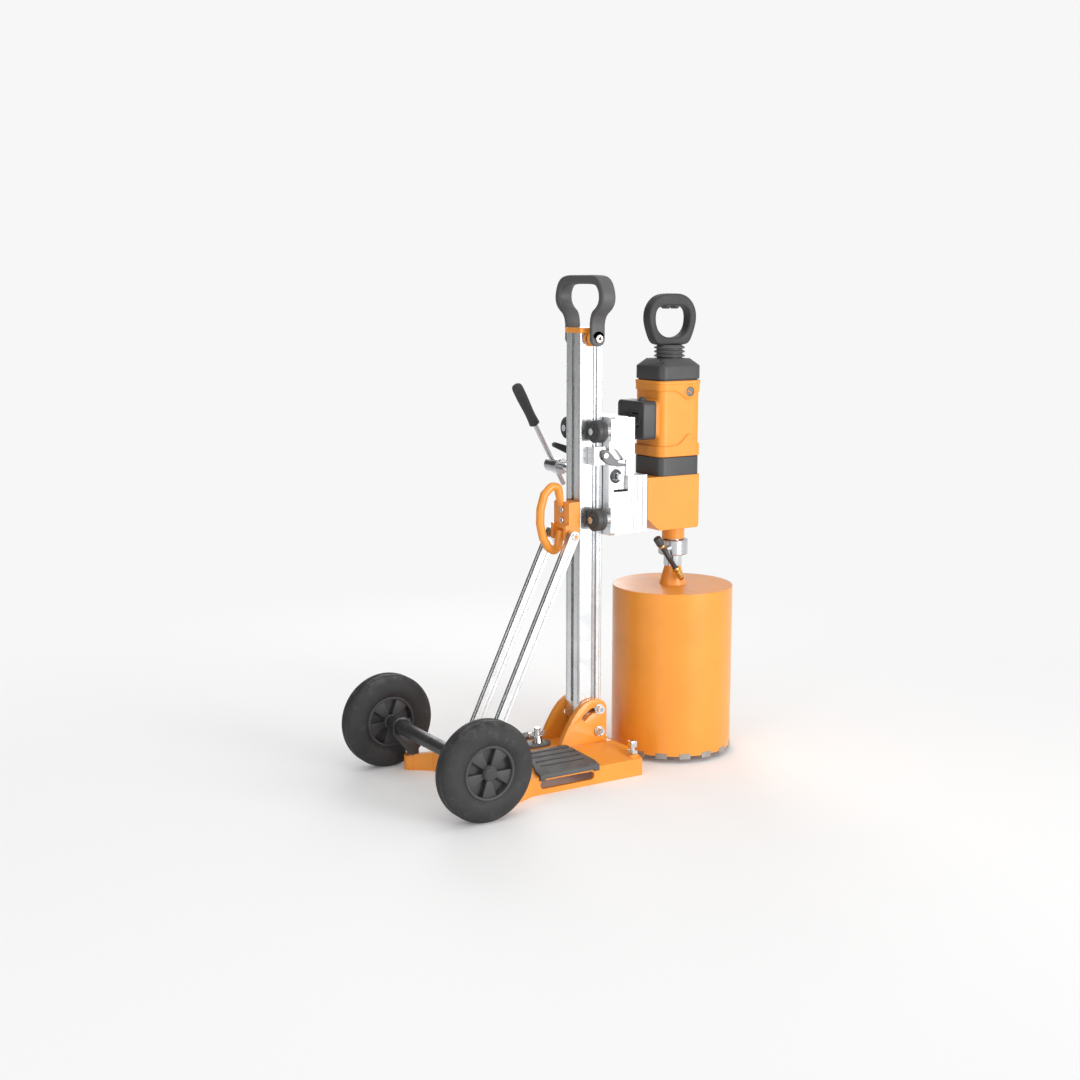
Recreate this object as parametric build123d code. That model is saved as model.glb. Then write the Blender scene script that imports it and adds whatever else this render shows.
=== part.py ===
from build123d import *
import math
import os

# ---------------------------------------------------------------- frame
# Millimetres. +X points to the core bit, +Y to the feed crank, +Z up.
# The origin is on the floor under the centre of the mast.

CLEAR = 0.3              # gap between pieces that move past each other
RUN = 0.06               # radial running clearance of a shaft in its bore
TAP = 0.25               # radial gap of a screw in its tapped or through hole

# ---------------------------------------------------------------- base
BASE_SIDE = 155.0        # half width over the side walls
BASE_FRONT = 69.0        # front corners
BASE_APEX = 84.0         # middle of the shallow vee in front
BASE_WALL = 8.0
SIDE_H = 42.0            # height of the side walls
DECK_H = 66.0            # raised middle of the deck
APEX_H = 49.0
DECK_HALF = 62.0         # half width of the flat middle of the deck
DECK_FRONT = 44.0        # where the deck starts to fall to the apex
DECK_REAR = -240.0       # where it starts to fall to the rear
REAR_X = -380.0          # rear screws
REAR_Y = 184.0
EAR_R = 17.0
LEVEL_X = 52.0           # front levelling screws
LEVEL_INSET = 18.0       # front levelling screws from the side walls
LEVEL_Y = BASE_SIDE - LEVEL_INSET
LEVEL_BOSS = 52.0        # flat top of the front screw bosses
PAD_R = 9.0              # swivel pads of the screws
LEVEL_TOP = 84.0         # top of every levelling screw
REAR_CURVE = -318.0      # middle of the hollow rear edge
RIB = 8.0                # cross ribs under the deck
RIB_X = (0.0, -235.0)
SLOT_X0 = -219.0         # grab slot in each side wall
SLOT_X1 = -69.0
SLOT_Z0 = 13.0
SLOT_Z1 = 33.0
ANCHOR_X0 = -190.0       # anchor slot in the deck
ANCHOR_X1 = -110.0
ANCHOR_HALF = 10.0
ANCHOR_X = -132.0        # where the anchor rod stands in it

# ---------------------------------------------------------------- treads
TREAD_X0 = -222.0
TREAD_X1 = -58.0
TREAD_TOP = 8.0          # thickness over the deck
TREAD_LIP = 6.0          # how far they stand out past the side walls
TREAD_GROOVE = 4.5

# ---------------------------------------------------------------- tilt joint
PIVOT_X = 14.0
PIVOT_Z = 92.0
SLOT_R = 55.0            # clamp bolt to pivot
TILT = 45.0              # degrees back from upright
BOLT_R = 6.0
CHEEK_T = 16.0
CHEEK_GAP = 1.5          # mast side to cheek
CHEEK_FRONT = 37.0
CHEEK_REAR = -96.0
CHEEK_TOP = 172.0
FOOT_R = 24.0

# ---------------------------------------------------------------- mast
MAST_X = 32.0            # half depth
MAST_Y = 31.0            # half width
CHEEK_IN = MAST_Y + CHEEK_GAP
TREAD_GAP = 3.5          # cheek to the inner edge of the foot treads
TREAD_IN = CHEEK_IN + CHEEK_T + TREAD_GAP
MAST_Z0 = 160.0
MAST_Z1 = 1053.0
MAST_WALL = 5.0
GUIDE_X = 9.0            # guide rods in the sides
GUIDE_R = 8.0
GUIDE_PROUD = 0.6
T_MOUTH = 6.0            # half mouth of the rear T slot
T_HALF = 10.0
T_DEPTH = 12.0
RACK_HALF = 10.0
RACK_X0 = 26.0
RACK_X1 = 37.6
RACK_PITCH = 9.0
CAP_T = 12.0
CAP_OVER = 3.0

# ---------------------------------------------------------------- carry handle
HANDLE_DROP = 13.0       # yoke pivot under the mast's top
HANDLE_Z = MAST_Z1 - HANDLE_DROP
HANDLE_SPACER = 15.7
HANDLE_LEG = MAST_Y + HANDLE_SPACER
HANDLE_BAR = 12.0
HANDLE_W = 24.0
HANDLE_OUT = 104.0
HANDLE_RISE = 147.0      # pivot to the top of the yoke
HANDLE_TOP = HANDLE_Z + HANDLE_RISE
HANDLE_BOSS_R = 19.0

# ---------------------------------------------------------------- braces
BRACE_OUT = 16.0         # brace centre from the mast side
BRACE_Y = MAST_Y + BRACE_OUT
BRACE_T = 16.0
BRACE_W = 26.0
BRACE_TOP_X = -61.0
BRACE_TOP_Z = 577.0
BRACE_FOOT_X = -298.0
BRACE_FOOT_Z = 84.0
BRACE_PIN_R = 6.0
FOOT_PLAY = 2.8          # the foot pin rises and dips this much in its slot
FOOT_DROP = 0.85         # slot's middle below the pin at rest
CLAMP_X0 = -64.0
CLAMP_Z0 = 588.0
CLAMP_Z1 = 656.0
CLAMP_HALF = MAST_Y + 2.0
CLAMP_SCREWS = (612.0, 637.0)
GRAB_R = 10.0
FOOT_SLOT = 28.0         # free travel of the foot pin, forward

# ---------------------------------------------------------------- wheels
AXLE_X = -416.0
WHEEL_R = 115.0
WHEEL_Y = 240.0
WHEEL_W = 60.0
HUB_R = 71.0
AXLE_R = 10.0
SLEEVE_R = 17.0
SLEEVE_END = 204.0
BOSS_R = 19.0

# ---------------------------------------------------------------- carriage
CAR_X0 = 33.0            # back plate
CAR_X1 = 46.0
CAR_Y = MAST_Y + 27.0
PLATE_Y = MAST_Y + 35.0
CAR_Z0 = 573.0
CAR_Z1 = 856.0
UPPER_Z0 = 752.5
GEAR_Z0 = 680.0
GEAR_Z1 = 750.0
LOWER_Z1 = 676.0
BLOCK_X = 88.0
LOWER_X = 99.0
BRACKET_X = 144.0
BRACKET_Z = 713.0
SPACER_X = 114.0
ROLLER_R = 27.0
ROLLER_X0 = -14.0
ROLLER_X1 = 12.0
ROLLER_Z = (614.0, 824.0)
ROLLER_BORE = 5.0
PINION_X = 52.0
PINION_Z = 714.5
PINION_TIP = 14.0
FEED_SHAFT_R = 9.0
CRANK_Y = 180.0          # inner end of the crank hub
CRANK_HUB = 58.0
CRANK_ANGLE = 28.8       # arm from upright, towards the rear
CRANK_UP = 118.0
CRANK_GRIP = 120.0
CRANK_DOWN = 57.0

# ---------------------------------------------------------------- motor
MOTOR_X0 = 183.0
MOTOR_X1 = 306.0
MOTOR_Y = 57.0
SPINDLE_X = 267.0
SHELL = 5.0
CASE_Z0 = 572.0
CASE_Z1 = 704.0
BAND_Z1 = 750.0
BODY_Z1 = 935.0
CAP_Z1 = 987.0
NECK_R = 38.0
NECK_Z1 = 1019.0
GRIP_Z0 = 1019.5
GRIP_Z1 = 1143.0
GRIP_HALF = 70.0
GRIP_T = 32.0
SWITCH_X0 = 133.0
SWITCH_X1 = 172.0
SWITCH_Z0 = 795.0
SWITCH_Z1 = 888.0
NOSE_R = 28.0
NOSE_Z = 540.0
COLLAR_R = 36.5
COLLAR_Z0 = 500.0
COLLAR_Z1 = 538.0
NECK_Z = 472.0
SHAFT_R = 15.0

# ---------------------------------------------------------------- core bit
BIT_R = 150.0
BIT_WALL = 3.2
BIT_Z0 = 11.0
BIT_Z1 = 424.0
BIT_TOP = 6.0
SEGMENTS = 16
SEG_L = 28.0
SEG_H = 14.0
SEG_T = 4.6

# gear train inside the case: armature, lay shaft, spindle
ARM_X = 245.0
LAY_X = 218.0
LAY_Y = 20.0
ARM_PINION = 9.0
SPINDLE_GEAR = 32.0


def block(x0, x1, y0, y1, z0, z1):
    """Rectangular block between two corners."""
    centre = Pos((x0 + x1) / 2, (y0 + y1) / 2, (z0 + z1) / 2)
    return centre * Box(x1 - x0, y1 - y0, z1 - z0)


def rod(axis, a, b, c0, c1, radius):
    """Cylinder along an axis; a and b are its place across it, in x, y, z order."""
    middle = (c0 + c1) / 2
    height = abs(c1 - c0)
    if axis == "X":
        return Pos(middle, a, b) * Rot(0, 90, 0) * Cylinder(radius, height)
    if axis == "Y":
        return Pos(a, middle, b) * Rot(90, 0, 0) * Cylinder(radius, height)
    return Pos(a, b, middle) * Cylinder(radius, height)


def tube(axis, a, b, c0, c1, outer, inner):
    return rod(axis, a, b, c0, c1, outer) - rod(axis, a, b, c0 - 1, c1 + 1, inner)


def bar(p, q, radius):
    """Round bar between two points."""
    way = Vector(*q) - Vector(*p)
    plane = Plane(origin=p, z_dir=way)
    return plane * Pos(0, 0, way.length / 2) * Cylinder(radius, way.length)


def prism_xz(points, y0, y1):
    plane = Plane(origin=(0, y1, 0), x_dir=(1, 0, 0), z_dir=(0, -1, 0))
    return extrude(plane * Polygon(*points, align=None), y1 - y0, dir=(0, -1, 0))


def prism_yz(points, x0, x1):
    plane = Plane(origin=(x0, 0, 0), x_dir=(0, 1, 0), z_dir=(1, 0, 0))
    return extrude(plane * Polygon(*points, align=None), x1 - x0, dir=(1, 0, 0))


def prism_xy(points, z0, z1):
    return extrude(Pos(0, 0, z0) * Polygon(*points, align=None), z1 - z0, dir=(0, 0, 1))


def hexagon(axis, a, b, c0, c1, flat):
    """Hexagonal prism along an axis, by its distance across flats."""
    radius = flat / math.sqrt(3)
    turns = [math.radians(60 * i) for i in range(6)]
    points = [(radius * math.cos(turn), radius * math.sin(turn)) for turn in turns]
    if axis == "X":
        return prism_yz([(a + u, b + v) for u, v in points], min(c0, c1), max(c0, c1))
    if axis == "Y":
        return prism_xz([(a + u, b + v) for u, v in points], min(c0, c1), max(c0, c1))
    return prism_xy([(a + u, b + v) for u, v in points], min(c0, c1), max(c0, c1))


def socket_screw(axis, a, b, seat, out, head_r, head_h, shank_r, length):
    """Socket head screw: the head stands out from its seat, the shank goes the other way."""
    top = seat + out * head_h
    head = rod(axis, a, b, seat, top, head_r)
    head -= hexagon(axis, a, b, top - out * head_h * 0.6, top + out, head_r * 0.95)
    return head + rod(axis, a, b, seat, seat - out * length, shank_r)


def mirror_y(shape):
    return mirror(shape, about=Plane.XZ)


def both(shape):
    """A piece and its mirror image on the other side of the machine."""
    return [shape, mirror_y(shape)]


def save(name, *shapes):
    solids = [solid for shape in shapes for solid in shape.solids()]
    whole = Compound(children=solids) if len(solids) > 1 else solids[0]
    export_step(whole, f"parts/{name}.step")


# ---------------------------------------------------------------- base pieces
def deck_at(y):
    """Height of the deck's upper face at a place across the base."""
    fall = (DECK_H - SIDE_H) / (BASE_SIDE - DECK_HALF)
    return DECK_H - fall * max(0.0, abs(y) - DECK_HALF)


def base_outline(inset):
    """Half outline of the base from above, front to rear."""
    side = BASE_SIDE - inset
    return [(BASE_APEX - inset, 0), (BASE_FRONT - inset, side), (DECK_REAR, side),
            (REAR_X + 2 * EAR_R, REAR_Y + EAR_R - inset), (REAR_X, REAR_Y + EAR_R - inset),
            (REAR_X, REAR_Y - EAR_R + inset), (REAR_X + 2 * EAR_R + inset, BASE_SIDE - EAR_R + inset),
            (REAR_CURVE + inset - 8, BASE_SIDE / 2), (REAR_CURVE + inset, 0)]


def base_solid(inset):
    """Solid under the base's skin, pulled in by an inset for the hollow."""
    half = base_outline(inset)
    full = half + [(x, -y) for x, y in reversed(half[1:-1])]
    plan = prism_xy(full, -1, DECK_H + 1)
    floor = min(0, -inset)
    wide = REAR_Y + EAR_R + 1
    low = deck_at(wide)
    across = [(-wide, floor), (-wide, low - inset), (-DECK_HALF, DECK_H - inset),
              (DECK_HALF, DECK_H - inset), (wide, low - inset), (wide, floor)]
    rear = REAR_X - EAR_R
    along = [(rear, floor), (rear, SIDE_H - inset), (REAR_X + EAR_R, SIDE_H - inset),
             (DECK_REAR, DECK_H - inset), (DECK_FRONT, DECK_H - inset), (BASE_APEX, APEX_H - inset),
             (BASE_APEX, floor)]
    return plan & prism_yz(across, rear - 1, BASE_APEX + 1) & prism_xz(along, -wide, wide)


def base_plate():
    body = base_solid(0) - base_solid(BASE_WALL)
    for x in RIB_X:
        body += block(x - RIB / 2, x + RIB / 2, -BASE_SIDE, BASE_SIDE, 0, DECK_H) & base_solid(0)
    ears = rod("Z", REAR_X, REAR_Y, 0, SIDE_H - 6, EAR_R)
    bosses = rod("Z", LEVEL_X, LEVEL_Y, 30, LEVEL_BOSS, 14)
    for piece in both(ears) + both(bosses):
        body += piece
    inner = BASE_SIDE - 3 * BASE_WALL
    slot = block(SLOT_X0 + 10, SLOT_X1 - 10, inner, BASE_SIDE + 1, SLOT_Z0, SLOT_Z1)
    middle = (SLOT_Z0 + SLOT_Z1) / 2
    for x in (SLOT_X0 + 10, SLOT_X1 - 10):
        slot += rod("Y", x, middle, inner, BASE_SIDE + 1, (SLOT_Z1 - SLOT_Z0) / 2)
    for piece in both(slot):
        body -= piece
    anchor = block(ANCHOR_X0, ANCHOR_X1, -ANCHOR_HALF, ANCHOR_HALF, 0, DECK_H + 1)
    for x in (ANCHOR_X0, ANCHOR_X1):
        anchor += rod("Z", x, 0, 0, DECK_H + 1, ANCHOR_HALF)
    body -= anchor
    for x, y in ((REAR_X, REAR_Y), (LEVEL_X, LEVEL_Y)):
        hole = rod("Z", x, y, -1, DECK_H + 1, 8 + TAP)
        for piece in both(hole):
            body -= piece
    for piece in both(rod("Z", REAR_X, REAR_Y, -1, 28, PAD_R + 0.5)):
        body -= piece
    return body


def tread():
    """Ribbed foot tread on the near side, with legs over the grab slot's ends."""
    out = BASE_SIDE + TREAD_LIP
    fall = (DECK_H - SIDE_H) / (BASE_SIDE - DECK_HALF)
    lip = deck_at(BASE_SIDE) - fall * TREAD_LIP
    under = 0.2
    top = [(-TREAD_IN, DECK_H + under), (-TREAD_IN, DECK_H + TREAD_TOP), (-DECK_HALF, DECK_H + TREAD_TOP),
           (-out, lip + TREAD_TOP + 2), (-out, SLOT_Z1 - 1), (-BASE_SIDE - under, SLOT_Z1 - 1),
           (-BASE_SIDE - under, SIDE_H + under), (-DECK_HALF, DECK_H + under)]
    body = prism_yz(top, TREAD_X0, TREAD_X1)
    outer = out + 1
    front = [(TREAD_X1 - 24, -TREAD_IN + 1), (TREAD_X1 + 1, -TREAD_IN + 1), (TREAD_X1 + 1, -BASE_SIDE + 12)]
    rear = [(TREAD_X0 + 30, -TREAD_IN + 1), (TREAD_X0 - 1, -TREAD_IN + 1), (TREAD_X0 - 1, -BASE_SIDE + 12)]
    body -= prism_xy(front, 0, 2 * DECK_H)
    body -= prism_xy(rear, 0, 2 * DECK_H)
    for y in (-78, -100, -122):
        ridge = DECK_H + TREAD_TOP - fall * (-y - DECK_HALF)
        groove = block(TREAD_X0 + 26, TREAD_X1 - 30, y - TREAD_GROOVE, y + TREAD_GROOVE, ridge - 3, ridge + 9)
        body -= groove
    leg = block(TREAD_X0 + 14, TREAD_X1 - 14, -outer, -BASE_SIDE, 0, SLOT_Z1 + 3)
    return body - leg


def cheek():
    """Tilt cheek on the near side, welded to the deck, with its clamp slot."""
    arc = [(-92, 78), (-76, 108), (-60, 133), (-44, 152), (-26, 165), (-8, 171)]
    points = [(CHEEK_FRONT, DECK_H), (CHEEK_FRONT, 150), (30, 163), (18, CHEEK_TOP - 2), (6, CHEEK_TOP)]
    points += list(reversed(arc)) + [(CHEEK_REAR, DECK_H)]
    body = prism_xz(points, -CHEEK_IN - CHEEK_T, -CHEEK_IN)
    y0 = -CHEEK_IN - CHEEK_T - 1
    y1 = -CHEEK_IN + 1
    body -= rod("Y", PIVOT_X, PIVOT_Z, y0, y1, BOLT_R + TAP)
    outer = SLOT_R + BOLT_R + 0.5
    inner = SLOT_R - BOLT_R - 0.5
    ring = tube("Y", PIVOT_X, PIVOT_Z, y0, y1, outer, inner)
    sweep = math.radians(TILT + 4)
    far = 2 * outer
    wedge = [(PIVOT_X, PIVOT_Z), (PIVOT_X, PIVOT_Z + far), (PIVOT_X - far, PIVOT_Z + far),
             (PIVOT_X - far * math.tan(sweep) * 0.9, PIVOT_Z + far * 0.9)]
    slot = ring & prism_xz(wedge, y0, y1)
    for angle in (0, sweep):
        x = PIVOT_X - SLOT_R * math.sin(angle)
        z = PIVOT_Z + SLOT_R * math.cos(angle)
        slot += rod("Y", x, z, y0, y1, BOLT_R + 0.5)
    return body - slot


def tilt_screw(z):
    """Chrome socket screw with washer through one cheek into the mast foot."""
    seat = -CHEEK_IN - CHEEK_T - CLEAR
    screw = socket_screw("Y", PIVOT_X, z, seat - 2.5, -1, 9.5, 10, BOLT_R, CHEEK_T + 14)
    washer = rod("Y", PIVOT_X, z, seat - 2.5, seat, 12.5)
    return screw + washer


def axle_lug():
    """Upright lug that carries the axle sleeve over the near rear ear."""
    x0 = AXLE_X - 22
    points = [(REAR_X - 14, SIDE_H - 8), (REAR_X + 10, SIDE_H - 8), (REAR_X + 6, 92),
              (AXLE_X + 22, WHEEL_R + 16),
              (AXLE_X + 8, WHEEL_R + 24), (AXLE_X - 8, WHEEL_R + 24), (x0, WHEEL_R + 14), (x0, WHEEL_R - 16)]
    y = REAR_Y - EAR_R + 1
    body = prism_xz(points, -y - 1, -y + 9)
    foot = block(REAR_X - 14, REAR_X + 10, -y - 1, -y + 9, SIDE_H - 8, SIDE_H + 4)
    body += foot
    body -= rod("Y", AXLE_X, WHEEL_R, -SLEEVE_END, 0, SLEEVE_R + 0.05)
    return body - base_solid(0) - rod("Z", REAR_X, -REAR_Y, 0, SIDE_H, EAR_R)


def levelling_screw(x, y, top):
    """Square-headed levelling screw with its swivel pad."""
    body = rod("Z", x, y, 4, top - 22, 8)
    body += rod("Z", x, y, 2, 6, PAD_R)
    body += block(x - 8.5, x + 8.5, y - 8.5, y + 8.5, top - 22, top)
    return chamfer(body.edges().group_by(Axis.Z)[-1], 1.5)


def jam_nut(x, y, z, turn):
    """Lock nut of a levelling screw with its short dark tommy bar."""
    nut = hexagon("Z", x, y, z, z + 9, 24) - rod("Z", x, y, z - 1, z + 10, 8 + TAP)
    way = (math.cos(math.radians(turn)), math.sin(math.radians(turn)))
    arm = bar((x + way[0] * 12, y + way[1] * 12, z + 4.5), (x + way[0] * 42, y + way[1] * 42, z + 4.5), 4)
    return nut + arm


def anchor_washer():
    x0 = ANCHOR_X - 20
    x1 = ANCHOR_X + 12
    z0 = DECK_H + 0.1
    body = block(x0, x1, -22, 22, z0, z0 + 8)
    for x in (x0, x1):
        body += rod("Z", x, 0, z0, z0 + 8, 22)
    return body - rod("Z", ANCHOR_X, 0, z0 - 1, z0 + 9, 8 + TAP)


def wing_nut():
    z0 = DECK_H + 8.4
    body = Pos(ANCHOR_X, 0, z0) * Cone(13, 9, 16, align=(Align.CENTER, Align.CENTER, Align.MIN))
    for side in (-1, 1):
        wing = [(side * 6, z0 + 4), (side * 22, z0 + 14), (side * 25, z0 + 25), (side * 17, z0 + 27),
                (side * 6, z0 + 15)]
        body += prism_xz([(ANCHOR_X + u, w) for u, w in wing], -2.5, 2.5)
    return body - rod("Z", ANCHOR_X, 0, z0 - 1, z0 + 30, 8 + TAP)


def brace_dir():
    dx = BRACE_FOOT_X - BRACE_TOP_X
    dz = BRACE_FOOT_Z - BRACE_TOP_Z
    length = math.hypot(dx, dz)
    return dx / length, dz / length, length


def brace():
    """Near brace: a grooved flat bar with round ends, pinned at the clamp, and its foot pin."""
    ux, uz, length = brace_dir()
    turn = math.degrees(math.atan2(-ux, -uz))
    half = BRACE_W / 2
    shape = Pos(0, 0, -length / 2) * Box(BRACE_W, BRACE_T, length)
    for z in (0, -length):
        shape += Pos(0, 0, z) * Rot(90, 0, 0) * Cylinder(half, BRACE_T)
    for side in (-1, 1):
        shape -= Pos(0, side * BRACE_T / 2, -length / 2) * Box(BRACE_W * 0.4, 5, length - 60)
    for side in (-1, 1):
        shape -= Pos(side * half, 0, -length / 2) * Box(5, BRACE_T * 0.35, length - 60)
    shape -= Rot(90, 0, 0) * Cylinder(BRACE_PIN_R + RUN, 2 * BRACE_T)
    shape -= Pos(0, 0, -length) * Rot(90, 0, 0) * Cylinder(BRACE_PIN_R, 2 * BRACE_T)
    return Pos(BRACE_TOP_X, -BRACE_Y, BRACE_TOP_Z) * Rot(0, turn, 0) * shape


def brace_foot_pin():
    """Foot pin carried by the near brace; it runs in the slotted lug inboard of it."""
    inner = BRACE_Y - BRACE_T / 2 - 14
    outer = BRACE_Y + BRACE_T / 2
    pin = rod("Y", BRACE_FOOT_X, BRACE_FOOT_Z, -outer, -inner, BRACE_PIN_R)
    return pin + hexagon("Y", BRACE_FOOT_X, BRACE_FOOT_Z, -outer - 7, -outer, 19)


def brace_lug():
    """Slotted foot lug inboard of the near brace."""
    y1 = BRACE_Y - BRACE_T / 2 - 1
    y0 = y1 - 10
    x = BRACE_FOOT_X
    front = x + FOOT_SLOT
    points = [(x - 20, SIDE_H), (x - 20, BRACE_FOOT_Z), (x - 10, BRACE_FOOT_Z + 16),
              (front + 12, BRACE_FOOT_Z + 16), (front + 20, BRACE_FOOT_Z), (front + 20, SIDE_H)]
    body = prism_xz(points, -y1, -y0) - base_solid(0)
    slot_r = BRACE_PIN_R + FOOT_PLAY
    z = BRACE_FOOT_Z - FOOT_DROP
    slot = block(x, x + FOOT_SLOT, -y1 - 1, -y0 + 1, z - slot_r, z + slot_r)
    for end in (x, x + FOOT_SLOT):
        slot += rod("Y", end, z, -y1 - 1, -y0 + 1, slot_r)
    return body - slot


def bubble_level():
    body = Pos(BASE_APEX - 22, 0, APEX_H + 6) * Cylinder(9, 12)
    return body - base_solid(0)


# ---------------------------------------------------------------- wheels
def tyre():
    half = WHEEL_W / 2
    crown = 9
    with_round = [(HUB_R - 7, -half + 12), (HUB_R, -half + 4), (HUB_R + 14, -half),
                  (WHEEL_R - crown - 8, -half + 1.5),
                  (WHEEL_R - 4, -half + crown), (WHEEL_R, -half + 20)]
    profile = with_round + [(r, -w) for r, w in reversed(with_round)]
    face = Plane.XZ * Polygon(*profile, align=None)
    ring = revolve(face, Axis.Z)
    return Pos(AXLE_X, -WHEEL_Y, WHEEL_R) * Rot(90, 0, 0) * ring


def hub():
    """Moulded hub: rim ring, boss and five raised sectors on a thin web."""
    half = WHEEL_W / 2
    rim = Cylinder(HUB_R - 7.2, WHEEL_W - 10) - Cylinder(HUB_R - 14, WHEEL_W)
    boss = Cylinder(BOSS_R, WHEEL_W - 8)
    web = Cylinder(HUB_R - 10, 6)
    body = rim + boss + web
    sector = [(BOSS_R - 2, -3), (HUB_R - 10, -17), (HUB_R - 10, 17), (BOSS_R - 2, 3)]
    for i in range(5):
        blade = extrude(Polygon(*sector, align=None), half - 14, both=True)
        body += Rot(0, 0, 72 * i - 90) * blade
    body -= Cylinder(AXLE_R + RUN, 2 * WHEEL_W)
    return Pos(AXLE_X, -WHEEL_Y, WHEEL_R) * Rot(90, 0, 0) * body


# ---------------------------------------------------------------- column
def mast():
    body = block(-MAST_X, MAST_X, -MAST_Y, MAST_Y, MAST_Z0, MAST_Z1)
    body = fillet(body.edges().filter_by(Axis.Z), 3)
    z0 = MAST_Z0 - 1
    z1 = MAST_Z1 + 1
    for side in (-1, 1):
        body -= rod("Z", GUIDE_X, side * (MAST_Y + GUIDE_PROUD - GUIDE_R), z0, z1, GUIDE_R)
        body -= block(GUIDE_X - 7, GUIDE_X + 7, side * MAST_Y - 3, side * MAST_Y + 3, z0, z1)
        body -= block(GUIDE_X + 15, GUIDE_X + 16.5, side * MAST_Y - 1.5, side * MAST_Y + 1.5, z0, z1)
    body -= block(-MAST_X - 1, -MAST_X + 4, -T_MOUTH, T_MOUTH, z0, z1)
    body -= block(-MAST_X + 4, -MAST_X + T_DEPTH, -T_HALF, T_HALF, z0, z1)
    body -= block(-MAST_X - 1, -MAST_X + 2, -MAST_Y + 6, -MAST_Y + 8, z0, z1)
    body -= block(-MAST_X - 1, -MAST_X + 2, MAST_Y - 8, MAST_Y - 6, z0, z1)
    body -= block(RACK_X0, MAST_X + 1, -RACK_HALF - 0.05, RACK_HALF + 0.05, z0, z1)
    body -= block(-MAST_X + T_DEPTH + MAST_WALL, RACK_X0 - MAST_WALL, -8, 8, z0, z1)
    return body


def guide_rod():
    return rod("Z", GUIDE_X, -(MAST_Y + GUIDE_PROUD - GUIDE_R), MAST_Z0, MAST_Z1, GUIDE_R - 0.02)


def gear_rack():
    z0 = MAST_Z0 + 6
    z1 = MAST_Z1 - 2
    body = block(RACK_X0, RACK_X1, -RACK_HALF, RACK_HALF, z0, z1)
    count = int((z1 - z0) / RACK_PITCH) - 1
    for i in range(count):
        z = z0 + RACK_PITCH * (i + 1)
        root = RACK_X1 - 4.6
        gap = [(RACK_X1 + 1, z - 3.4), (root, z - 1.4), (root, z + 1.4), (RACK_X1 + 1, z + 3.4)]
        body -= prism_xz(gap, -RACK_HALF - 1, RACK_HALF + 1)
    return body


def mast_foot():
    points = [(-MAST_X, MAST_Z0), (-MAST_X, PIVOT_Z + 28), (PIVOT_X - FOOT_R * 0.94, PIVOT_Z - FOOT_R * 0.3),
              (PIVOT_X, PIVOT_Z), (MAST_X, PIVOT_Z), (MAST_X, MAST_Z0)]
    body = prism_xz(points, -MAST_Y, MAST_Y)
    body += rod("Y", PIVOT_X, PIVOT_Z, -MAST_Y, MAST_Y, FOOT_R) & block(-50, MAST_X, -40, 40, 0, 200)
    body -= block(-MAST_X - 1, -MAST_X + 4, -T_MOUTH, T_MOUTH, 0, MAST_Z0 + 1)
    hole = BOLT_R + 0.02
    for z in (PIVOT_Z, PIVOT_Z + SLOT_R):
        for piece in both(rod("Y", PIVOT_X, z, -MAST_Y - 1, -MAST_Y + 16, hole)):
            body -= piece
    return body


def mast_cap():
    x = MAST_X + CAP_OVER
    y = MAST_Y + CAP_OVER
    body = block(-x, x, -y, y, MAST_Z1, MAST_Z1 + CAP_T)
    body = fillet(body.edges().filter_by(Axis.Z), 5)
    body = chamfer(body.edges().group_by(Axis.Z)[-1], 2)
    skirt = block(-12, 12, -y, -MAST_Y - GUIDE_PROUD - 0.1, HANDLE_Z - HANDLE_BOSS_R, MAST_Z1 + 1)
    for piece in both(skirt):
        body += piece
    for piece in both(rod("Y", 0, HANDLE_Z, -y - 1, -MAST_Y - 0.1, 6 + TAP)):
        body -= piece
    return body


def handle_boss():
    """Near pivot boss between the mast side and the yoke's leg, with its screw."""
    y0 = MAST_Y + GUIDE_PROUD + 0.1
    spacer = rod("Y", 0, HANDLE_Z, -HANDLE_LEG + CLEAR, -y0 - 3.1, HANDLE_BOSS_R - 3)
    pin = rod("Y", 0, HANDLE_Z, -HANDLE_LEG - HANDLE_BAR - 0.4, -y0 + 0.05, 6)
    head = rod("Y", 0, HANDLE_Z, -HANDLE_LEG - HANDLE_BAR - 6, -HANDLE_LEG - HANDLE_BAR - CLEAR, 9)
    socket = hexagon("Y", 0, HANDLE_Z, -HANDLE_LEG - HANDLE_BAR - 7, -HANDLE_LEG - HANDLE_BAR - 3, 8)
    return spacer + pin + head - socket


def carry_handle():
    """Omega-shaped yoke that straddles the top of the mast."""
    leg = HANDLE_LEG + HANDLE_BAR
    out = HANDLE_OUT
    z = HANDLE_Z
    top = HANDLE_TOP
    outer = [(leg, z - 8), (leg, z + 52), (out - 8, z + 72), (out, z + 88), (out - 4, z + 112),
             (out - 24, z + 132), (40, top - 2), (0, top)]
    inner = [(HANDLE_LEG, z - 30), (HANDLE_LEG, z + 60), (out - 24, z + 82), (out - 18, z + 92),
             (out - 22, z + 106), (out - 38, z + 118), (36, top - 21), (0, top - 21)]
    solid = prism_yz(outer + [(-y, w) for y, w in reversed(outer[:-1])], -HANDLE_W / 2, HANDLE_W / 2)
    hollow = prism_yz(inner + [(-y, w) for y, w in reversed(inner[:-1])], -HANDLE_W, HANDLE_W)
    body = solid - hollow
    for side in (-1, 1):
        y = side * (HANDLE_LEG + HANDLE_BAR / 2)
        body += rod("Y", 0, z, y - HANDLE_BAR / 2, y + HANDLE_BAR / 2, HANDLE_BOSS_R)
    return body - rod("Y", 0, z, -2 * leg, 2 * leg, 6 + RUN)


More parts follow.
